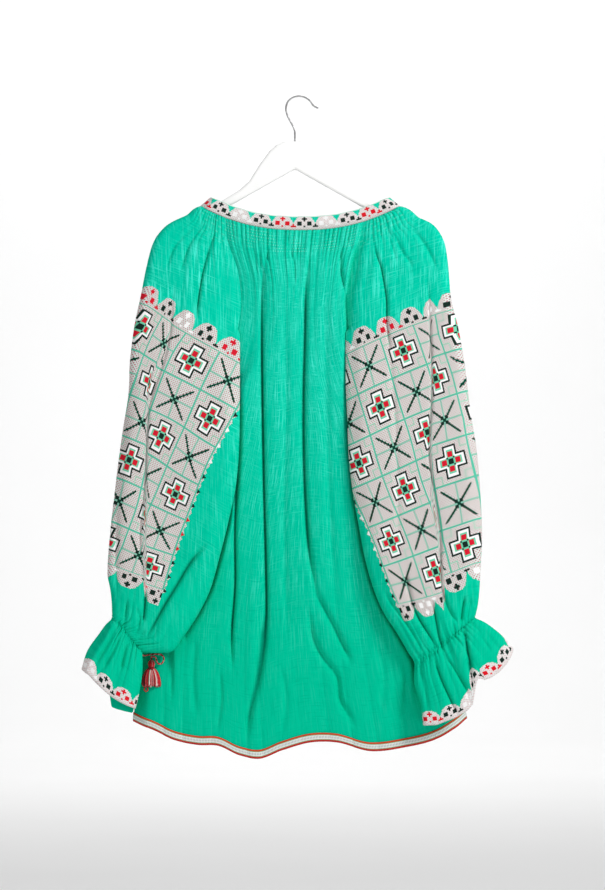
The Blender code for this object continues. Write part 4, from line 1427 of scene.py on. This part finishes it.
class TUNIC_OT_body(bpy.types.Operator):
    """Makes the back and front panels with their gathers and folds"""

    bl_idname = "tunic.body"
    bl_label = "Make body panels"

    def execute(self, context):
        chosen = settings()
        linen = linen_material("green_linen")
        for name, depth, rows, columns in PANELS:
            out = -1 if depth < 0 else 1
            grid, u, below = panel_grid(depth, rows, columns)
            x, z = grid[:, :, 0], grid[:, :, 2]
            width = grid[0, -1, 0] - grid[0, 0, 0]
            sides = ease(np.minimum(u, 1 - u), 0.0, 0.05)
            if out < 0:
                free = clear_of_sleeves(x, z)
                lift = (1.5 + 9.5 * free * ease(below, 0.0, 70.0)) * sides
                cut = crease_cut(x, z, BACK_CREASES)
                lift = lift * cut
            else:
                free = cut = np.ones(x.shape)
                lift = 4.0 * ease(below, 0.0, 90.0) * sides
                lift *= 0.5 + 0.5 * np.sin(u * 9.0 + 1.5 * np.sin(below / 160.0)) ** 2
            fine = body_roughness(u, width, below, free, chosen.gather / MM)
            roll = 0.8 * np.sin(x / 23.0 + 0.6 * np.sin(z / 70.0)) * np.sin(z / 61.0 + x / 90.0)
            roll *= ease(below, 120.0, 300.0) * free
            normal = outward_normals(grid, (columns // 2, (0.0, out, 0.0)))
            grid = grid + normal * (lift + (fine + roll) * sides)[:, :, None]
            thread = in_metres(u * PANEL_WIDTH, below)
            # The Folds map carries how deep each crease is, for the painted shade in the creases.
            maps = {"Thread": thread, "Folds": np.stack([cut, u], axis=2)}
            piece = add_piece(f"{name}_linen", cloth_mesh(name, grid, maps), linen)
            thicken(piece, chosen.cloth)
            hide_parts(name)
            tape = self.tape(grid, out, name)
        return {"FINISHED"}

    def tape(self, grid, out, name):
        """The ribbon along the panel's lowest stretch, lifted off it."""
        normal = outward_normals(grid, (grid.shape[1] // 2, (0.0, out, 0.0)))
        rows = []
        low, above = grid[-1], grid[-5]
        way = (above - low) / np.linalg.norm(above - low, axis=1)[:, None]
        for up in TAPE_STEPS:
            bulge = TAPE_BULGE * math.sin(math.pi * up / TAPE_WIDTH)
            rows.append(low + way * (up - TAPE_LAP) + normal[-2] * (TAPE_LIFT + bulge))
        border = np.stack(np.meshgrid(lengths_along(low), TAPE_STEPS), axis=2)
        node = "hem_tape_back" if out < 0 else "hem_tape_front"
        finish = bpy.data.materials.get("woven_ribbon") or ribbon_material()
        mesh = cloth_mesh(node, np.array(rows), {"Border": border})
        piece = add_piece(f"{node}_ribbon", mesh, finish)
        thicken(piece, TAPE_WALL * MM)
        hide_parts(node)
        return piece


SleevePlan = namedtuple("SleevePlan", "name table chart spots hidden creases drops seed")
SLEEVES = (
    SleevePlan(
        "sleeve_left", LEFT_SLEEVE, LEFT_CHART, LEFT_SPOTS, LEFT_HIDDEN, LEFT_CREASES, None, 11,
    ),
    SleevePlan(
        "sleeve_right", RIGHT_SLEEVE, RIGHT_CHART, RIGHT_SPOTS, RIGHT_HIDDEN, RIGHT_CREASES,
        RIGHT_FRILL_DROPS, 23,
    ),
)
# How far the layer that shows swells out at some of the rows, in mm
SWELL_ROWS, SWELL = [0, 1, 3, 5, 9, 13, 16, 17, 19], [0.5, 3, 7, 9, 10, 10, 5, 8, 10]
# around: the round of cloth that is gathered, in mm. wrist: whether below is counted from the
# wrist. height: None is the Gather setting. rows: where the gathers come in, if not at once.
SleeveGathers = namedtuple("SleeveGathers", "around wrist below pitch height reach rows")
SHOULDER_ROUND, CUFF_ROUND = 150.0, 230.0
SLEEVE_GATHERS = [SleeveGathers(*row) for row in (
    (SHOULDER_ROUND, False, 0.0, 6.0, None, 50.0, None),
    (SHOULDER_ROUND, False, 0.0, 13.0, 1.8, 110.0, (0.3, 2.0)),
    (CUFF_ROUND, True, 0.0, 6.0, 2.6, 20.0, None),
    (CUFF_ROUND, True, 0.0, 14.0, 2.8, 52.0, None),
    (CUFF_ROUND, True, 130.0, 34.0, 3.0, 95.0, (16.2, 18.0)),
)]
# The wrist is drawn in by WRIST_DIP over WRIST_REACH, and puckered between the shirring rows.
PUCKER, WRIST_DIP, WRIST_REACH = 1.5, 1.6, 9.0
BORDERLESS = 60.0


def sleeve_near(numbers, columns, side):
    """1 on the layer of a sleeve that shows, falling to 0 towards its folds."""
    at = np.arange(columns)[None, :]
    deep = 26.0 * ease(numbers, 9.0, 16.0)
    soft = 20.0 + deep + (44.0 * (1 - ease(numbers, 4.0, 7.0)) if side < 0 else 0.0)
    near = ease((at - INNER) / soft[:, None], 0.0, 1.0)
    return near * ease((OUTER + 2 - at) / (18.0 + deep[:, None]), 0.0, 1.0)


def sleeve_roughness(share, number, down, wrist, gather, seed):
    """Gathers at the shoulder and the wrist, with puckers between the rows of shirring."""
    rough = np.zeros(share.shape)
    for k, kind in enumerate(SLEEVE_GATHERS):
        below = (down - wrist if kind.wrist else down) - kind.below
        height = gather if kind.height is None else kind.height
        around = share * kind.around
        ridges = gathers(around, below, kind.pitch, height, kind.reach, seed + k)
        rough += ridges * (ease(number, *kind.rows) if kind.rows else 1.0)
    line = np.round((down - wrist) / SHIRR_ROWS)
    pucker = np.sin(2 * math.pi * share * CUFF_ROUND / SHIRR_PITCH + math.pi * line)
    between = np.cos(math.pi * ((down - wrist) / SHIRR_ROWS - line)) * (np.abs(line) <= 1)
    return rough + PUCKER * pucker * between - WRIST_DIP * np.exp(
        -(((down - wrist) / WRIST_REACH) ** 2)
    )


def sleeve_calm(numbers, columns):
    """How much of the roughness each point keeps: little at the seam and near the folds."""
    at = np.arange(columns)[None, :]
    seam = ease(np.minimum(at, columns - 1 - at), 0.0, 8.0)
    inner = 0.15 + 0.85 * ease(at, INNER, INNER + 20)
    shoulder = 1 - ease(numbers, 2.0, 6.0)[:, None]
    frill = ease(numbers, 16.0, 17.5)[:, None]
    from_edge = (at - OUTER) / (9.0 + 34.0 * shoulder + 8.0 * frill)
    calm = 0.65 + 0.3 * np.maximum(shoulder, frill)
    return seam * inner * (1 - calm * np.exp(-(from_edge**2)))


def set_far_layer(grid, smooth, number):
    """Sets the left frill's far layer back, and gives how far its corner hangs lower."""
    x, z = smooth[:, :, 0], smooth[:, :, 2]
    at = np.arange(grid.shape[1])
    edge = from_photo(LEFT_FRILL_EDGE)[::-1]
    beyond = ease(np.interp(z, edge[:, 1], edge[:, 0]) - x, -0.8, 0.8)
    beyond = beyond * ease(number, 16.1, 16.7) * (1 - ease(at, OUTER - 2, OUTER + 8))
    beyond = beyond * ease(at, INNER + 30, INNER + 40)
    hidden_side = np.maximum(
        ease(at, OUTER + 10, OUTER + 14), 1 - ease(at, INNER - 12, INNER - 6)
    )
    hang = np.interp(x, *zip(*FAR_CORNER)) * hidden_side * ease(number, 17.6, 18.9)
    bulge = np.exp(-(((z - FAR_BULGE_Z) / FAR_BULGE_REACH) ** 2))
    grid[:, :, 0] -= FAR_BULGE * beyond * bulge
    grid[:, :, 1] += FAR_DEPTH * beyond
    grid[:, :, 2] -= hang
    return hang


class TUNIC_OT_sleeves(bpy.types.Operator):
    """Makes both sleeves, with their folds, cross-stitched panels, shirred wrists and frills"""

    bl_idname = "tunic.sleeves"
    bl_label = "Make sleeves"

    def execute(self, context):
        for plan in SLEEVES:
            self.sleeve(plan)
        return {"FINISHED"}

    def sleeve(self, plan):
        chosen, chart = settings(), plan.chart
        smooth, numbers, below, unrolled = sleeve_grid(plan.table, SLEEVE_ROWS, plan.drops)
        shape = smooth.shape[:2]
        columns = shape[1]
        number = np.broadcast_to(numbers[:, None], shape)
        down = np.broadcast_to(below[:, None], shape)
        share = np.broadcast_to(np.linspace(0.0, 1.0, columns)[None, :], shape)
        x, z = smooth[:, :, 0], smooth[:, :, 2]
        near = sleeve_near(numbers, columns, chart.side)
        at = np.arange(columns)
        front = ease(at, OUTER + 4, OUTER + 20) * (1 - ease(at, columns - 16, columns - 2))
        swell = smooth_between(SWELL_ROWS, SWELL, numbers)[:, None]
        cut = crease_cut(x, z, plan.creases)
        waves = 0.5 + 0.5 * np.sin(share * 34.0 + 2.0 * np.sin(number * 0.7 + plan.seed))
        lift = swell * near * cut + 0.45 * swell * front[None, :] * waves
        cut = 1 - (1 - cut) * near
        wrist = np.interp(WRIST_ROW, numbers, below)
        rough = sleeve_roughness(share, number, down, wrist, chosen.gather / MM, plan.seed)
        roll = 0.9 * np.sin(x / 19.0 + 1.3 * np.sin(z / 57.0)) * np.sin(z / 47.0 + x / 70.0)
        rough += roll * ease(number, 2.0, 5.0) * near
        steps = np.linalg.norm(np.diff(smooth, axis=0), axis=2)
        rise = np.concatenate([np.cumsum(steps[::-1], axis=0)[::-1], np.zeros((1, columns))])
        normal = outward_normals(smooth, (INNER + NEAR // 2, (0.0, -1.0, 0.0)))
        along = lengths_along((smooth + normal * lift[:, :, None])[-1])
        along = chart.side * (along - along[INNER] - chart.frill_start)
        lift = lift + rough * sleeve_calm(numbers, columns)
        grid = smooth + normal * lift[:, :, None]
        if chart.side < 0:
            hang = set_far_layer(grid, smooth, number)
            rise = rise + BORDERLESS * ease(hang, 0.0, 1.0)
        maps = {
            "Thread": in_metres(unrolled[:, :, 0], down),
            "Cells": chart_cells(unrolled, chart, plan.spots, plan.hidden),
            "Border": np.stack([np.broadcast_to(along, shape), rise], axis=2),
            # The Folds map carries how deep each crease is, for the painted shade in the creases.
            "Folds": np.stack([cut, share], axis=2),
        }
        closed = int(np.searchsorted(numbers, UNDERARM_ROW))
        finish = linen_material(f"{plan.name}_stitching", chart)
        mesh = cloth_mesh(plan.name, grid, maps, closed)
        piece = add_piece(f"{plan.name}_linen", mesh, finish)
        thicken(piece, chosen.cloth)
        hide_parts(plan.name)


# The neckband's grid, its wall, its bulges, and where its border's pattern starts, in mm
BAND_COLUMNS, BAND_ROWS, BAND_CLOTH = 240, 14, 1.4
BAND_BULGE, PIPING_BULGE, PIPING_RADIUS = 0.5, 0.6, 0.8
BAND_LENGTH, BAND_START, BAND_LINEN_START = 620.0, 24.65, 100.0


class TUNIC_OT_neckband(bpy.types.Operator):
    """Makes the embroidered neckband, a doubled strip once round the neck"""

    bl_idname = "tunic.neckband"
    bl_label = "Make neckband"

    def execute(self, context):
        turn = np.linspace(0.0, 2 * math.pi, BAND_COLUMNS + 1)
        along = np.sin(turn)
        x = BAND_X + BAND_HALF * np.sign(along) * np.abs(along) ** 0.8
        round_off = np.minimum(1.0, (BAND_HALF - np.abs(x - BAND_X)) / BAND_ROUNDING) ** 0.5
        y = -np.sign(np.cos(turn)) * FRONT_Y * round_off
        z = band_low(x) - np.where(y > 0, front_drop(x), 0.0)
        low = np.stack([x, y, z], axis=1)
        run = np.roll(low[:-1], -1, axis=0) - np.roll(low[:-1], 1, axis=0)
        run = np.concatenate([run, run[:1]])
        lean = np.stack([-run[:, 2], run[:, 0]], axis=1)
        lean /= np.linalg.norm(lean, axis=1)[:, None] + 1e-9
        lean *= np.where(lean[:, 1:] < 0, -1.0, 1.0)
        hold = np.minimum(1.0, (BAND_HALF - np.abs(x - BAND_X)) / (2 * BAND_ROUNDING))[:, None]
        inward = np.stack([-np.sign(x - BAND_X) * BAND_END_LEAN, np.ones(len(x))], axis=1)
        inward /= np.linalg.norm(inward, axis=1)[:, None]
        lean = lean * hold + inward * (1 - hold)
        lean /= np.linalg.norm(lean, axis=1)[:, None]
        rows, rises = [], np.linspace(0.0, BAND_HEIGHT, BAND_ROWS)
        for rise in rises:
            bulge = BAND_BULGE * math.sin(math.pi * rise / BAND_HEIGHT)
            from_piping = (rise - BAND_HEIGHT + PIPING_RADIUS) / PIPING_RADIUS
            bulge += PIPING_BULGE * math.exp(-(from_piping**2))
            offset = np.stack([lean[:, 0] * rise, np.sign(y) * bulge, lean[:, 1] * rise], axis=1)
            rows.append(low + offset)
        grid = np.array(rows)
        arc = lengths_along(low)
        arc = np.where(np.arange(len(x)) > BAND_COLUMNS // 2, arc - arc[-1], arc)
        border = np.stack(np.meshgrid(arc + BAND_X + BAND_START, rises), axis=2)
        thread = in_metres(border[:, :, 0], border[:, :, 1] + BAND_LINEN_START)
        maps = {"Thread": thread, "Border": border}
        mesh = cloth_mesh("neckband", grid, maps, 0)
        piece = add_piece("neckband_strip", mesh, band_material())
        thicken(piece, BAND_CLOTH * MM)
        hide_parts("neckband")
        return {"FINISHED"}


CORD_POINTS, CORD_SIDES, CORD_PLIES, CORD_TURNS = 160, 12, 2, 11.0
# The tassel's head: how far below its top, and how wide, in mm
HEAD_DROPS = (0.0, 1.2, 3.2, 5.6, 7.8, 9.6, 10.8, 12.0)
HEAD_RADII = (0.8, 2.8, 4.4, 5.0, 4.4, 3.6, 3.5, 4.4)
STRANDS, STRAND_TURN, STRAND_RADII = 110, 2.399963, [0.85] * 7 + [1.15, 0.7]
WRAPS, HEAD_STRANDS = 4, 5
# Which tone each strand over the head takes: a painted pink or white highlight, or plain crimson
HEAD_STRAND_TONES = (0.42, 0.05, 0.67, 0.2, 0.42)


class TUNIC_OT_wrist_tie(bpy.types.Operator):
    """Makes the twisted cord at the left wrist and its tassel"""

    bl_idname = "tunic.wrist_tie"
    bl_label = "Make wrist tie"

    def execute(self, context):
        yarn = yarn_material()
        route = smooth_line(TIE_ROUTE, CORD_POINTS)
        tube = sweep(route, TIE / 2, CORD_SIDES, CORD_PLIES, CORD_TURNS)
        cord = self.yarn_piece("wrist_tie_cord", *tube, yarn)
        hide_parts("wrist_tie")
        tassel = self.tassel(yarn)
        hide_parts("tassel")
        return {"FINISHED"}

    def yarn_piece(self, name, verts, faces, marks, yarn):
        mesh = bpy.data.meshes.new(name)
        mesh.from_pydata([Vector(v) * MM for v in verts], [], faces)
        layer = mesh.uv_layers.new(name="Strand")
        index = np.zeros(len(mesh.loops), int)
        mesh.loops.foreach_get("vertex_index", index)
        layer.data.foreach_set("uv", np.array(marks, np.float32)[index].reshape(-1))
        mesh.shade_smooth()
        return add_piece(name, mesh, yarn)

    def tassel(self, yarn):
        """A wrapped head over a skirt of loose strands."""
        draw = np.random.default_rng(31)
        verts, faces, marks = [], [], []

        def gather_in(part, ply):
            base = len(verts)
            verts.extend(part[0])
            faces.extend([tuple(base + k for k in face) for face in part[1]])
            marks.extend([(ply + 0.01 * mark[0], mark[1]) for mark in part[2]])

        core = [(TASSEL_X, TASSEL_Y, TASSEL_TOP - drop) for drop in HEAD_DROPS]
        gather_in(sweep(core, HEAD_RADII, 20), 0.08)
        for wrap in range(WRAPS):
            turn = np.linspace(0.0, 2 * math.pi, 26)
            z = TASSEL_NECK + 1.9 - wrap * 1.0
            ring = [(TASSEL_X + 3.9 * math.cos(a), TASSEL_Y + 3.7 * math.sin(a), z) for a in turn]
            # Every other wrap takes the painted dark shade.
            gather_in(sweep(ring, 0.6, 6), 0.9 if wrap % 2 else 0.2)
        for k in range(STRANDS):
            angle = k * STRAND_TURN
            spread = math.sqrt((k + 0.5) / STRANDS)
            # The tone each strand takes at random: some get a painted highlight or painted shade.
            ply = float(draw.uniform(0.0, 1.0))
            length = (TASSEL_NECK - TASSEL_END) * draw.uniform(0.88, 1.0)
            wander = draw.uniform(-1.0, 1.0, 2)
            line = []
            for step in np.linspace(0.0, 1.0, 9):
                out = 2.0 + 10.4 * spread * math.sin(math.pi * min(step, 0.97) * 0.62) ** 0.62
                line.append((
                    TASSEL_X + out * 1.12 * math.cos(angle) + wander[0] * step,
                    TASSEL_Y + out * 0.5 * math.sin(angle) + 0.5 * wander[1] * step,
                    TASSEL_NECK + 1.0 - length * step,
                ))
            gather_in(sweep(line, STRAND_RADII, 6), ply)
        turn = np.linspace(0.0, 2 * math.pi, 22)
        loop = [
            (LOOP_X + 2.5 * math.sin(a), TASSEL_Y - 2.0, LOOP_Z + 3.4 * math.cos(a)) for a in turn
        ]
        gather_in(sweep(loop, 1.0, 8, lobes=2, turns=4.0), 0.05)
        for strand in range(HEAD_STRANDS):
            angle = strand * 1.26
            line = [
                (TASSEL_X + 4.8 * math.sin(a) * math.cos(angle),
                 TASSEL_Y + 4.6 * math.sin(a) * math.sin(angle),
                 TASSEL_TOP - 5.6 + 5.4 * math.cos(a))
                for a in np.linspace(0.15, 2.6, 12)
            ]
            gather_in(sweep(line, 0.7, 6), HEAD_STRAND_TONES[strand])
        return self.yarn_piece("tassel_yarn", verts, faces, marks, yarn)


# The stage, in metres: a floor that bends up into a wall, behind every view's camera
FLOOR_Z, WALL_Y, WALL_TOP, HALF_WIDTH = -1.45, 8.6, 7.0, 9.0
BEND, BEND_STEPS = 1.8, 12
WORLD_STRENGTH = 0.36
Lamp = namedtuple("Lamp", "name place target size power")
LAMPS = (
    Lamp("key", (2.1, -1.7, 1.0), (0.0, 0.0, -0.5), 0.9, 74.0),
    Lamp("fill", (-1.8, -2.6, 0.3), (0.0, 0.0, -0.5), 2.2, 20.0),
    Lamp("wall_light", (0.0, 5.6, 2.4), (0.0, WALL_Y, 0.4), 2.6, 93.0),
    Lamp("floor_light", (0.0, 3.5, 2.6), (0.0, 3.5, FLOOR_Z), 4.0, 58.0),
)
SENSOR_WIDTH, CAMERA_AWAY, FOCUS_Y = 36.0, 6.0, -0.02


class TUNIC_OT_stage(bpy.types.Operator):
    """Sets the floor, the lights and the camera"""

    bl_idname = "tunic.stage"
    bl_label = "Set stage"

    def execute(self, context):
        material, w, shader = new_material("pale_paper", 0.9)
        place = w.node("ShaderNodeTexCoord").outputs["Object"]
        tone = w.noise(place, 1.5, 2.0)
        w.put(shader.inputs["Base Color"], w.mix(tone, *PAPER))
        start = WALL_Y - BEND
        profile = [(-HALF_WIDTH, FLOOR_Z), (start, FLOOR_Z)]
        for k in range(1, BEND_STEPS + 1):
            a = math.pi / 2 * k / BEND_STEPS
            profile.append((start + BEND * math.sin(a), FLOOR_Z + BEND - BEND * math.cos(a)))
        profile.append((WALL_Y, WALL_TOP))
        verts = [(side * HALF_WIDTH, y, z) for y, z in profile for side in (-1, 1)]
        faces = [(2 * k, 2 * k + 1, 2 * k + 3, 2 * k + 2) for k in range(len(profile) - 1)]
        mesh = bpy.data.meshes.new("studio_sweep")
        mesh.from_pydata(verts, [], faces)
        mesh.shade_smooth()
        mesh.materials.append(material)
        sweep_piece = bpy.data.objects.new("studio_sweep", mesh)
        context.scene.collection.objects.link(sweep_piece)
        world = bpy.data.worlds.new("studio_light")
        world.use_nodes = True
        light = world.node_tree.nodes["Background"].inputs
        light["Color"].default_value = paint(1.0, 1.0, 1.0)
        light["Strength"].default_value = WORLD_STRENGTH
        context.scene.world = world
        context.scene.view_settings.view_transform = "Standard"
        for lamp in LAMPS:
            self.light(*lamp)
        camera = bpy.data.cameras.new("camera")
        camera.sensor_width = SENSOR_WIDTH
        camera.lens = SENSOR_WIDTH * CAMERA_AWAY / (FRAME_HIGH * PIXEL * MM)
        camera.dof.use_dof = False
        viewer = bpy.data.objects.new("camera", camera)
        x = (FRAME_WIDE / 2 - ORIGIN_PX) * PIXEL * MM
        z = (ORIGIN_PY - FRAME_HIGH / 2) * PIXEL * MM
        viewer.location = (x, FOCUS_Y - CAMERA_AWAY, z)
        viewer.rotation_euler = (math.pi / 2, 0.0, 0.0)
        context.scene.collection.objects.link(viewer)
        context.scene.camera = viewer
        return {"FINISHED"}

    def light(self, name, place, target, size, power):
        lamp = bpy.data.lights.new(name, "AREA")
        lamp.size = size
        lamp.energy = power
        lamp.use_shadow = True
        made = bpy.data.objects.new(name, lamp)
        made.location = place
        toward = Vector(target) - Vector(place)
        made.rotation_euler = toward.to_track_quat("-Z", "Y").to_euler()
        bpy.context.scene.collection.objects.link(made)


class TUNIC_PT_panel(bpy.types.Panel):
    """Lists the pieces of the tunic in the sidebar"""

    bl_idname = "TUNIC_PT_panel"
    bl_label = "Embroidered Tunic"
    bl_space_type = "VIEW_3D"
    bl_region_type = "UI"
    bl_category = "Tunic"

    def draw(self, context):
        for name in TunicSettings.__annotations__:
            self.layout.prop(context.scene.tunic, name)
        for operator in OPERATORS:
            self.layout.operator(operator.bl_idname)


OPERATORS = (
    TUNIC_OT_stage, TUNIC_OT_wrist_tie, TUNIC_OT_hanger, TUNIC_OT_body, TUNIC_OT_sleeves,
    TUNIC_OT_neckband,
)
CLASSES = (TunicSettings, *OPERATORS, TUNIC_PT_panel)


def register():
    for made in CLASSES:
        bpy.utils.register_class(made)
    bpy.types.Scene.tunic = bpy.props.PointerProperty(type=TunicSettings)


def unregister():
    del bpy.types.Scene.tunic
    for made in reversed(CLASSES):
        bpy.utils.unregister_class(made)


def main():
    register()
    bpy.ops.tunic.stage()
    bpy.ops.tunic.wrist_tie()
    bpy.ops.tunic.hanger()
    bpy.ops.tunic.body()
    bpy.ops.tunic.sleeves()
    bpy.ops.tunic.neckband()


if __name__ == "__main__":
    main()
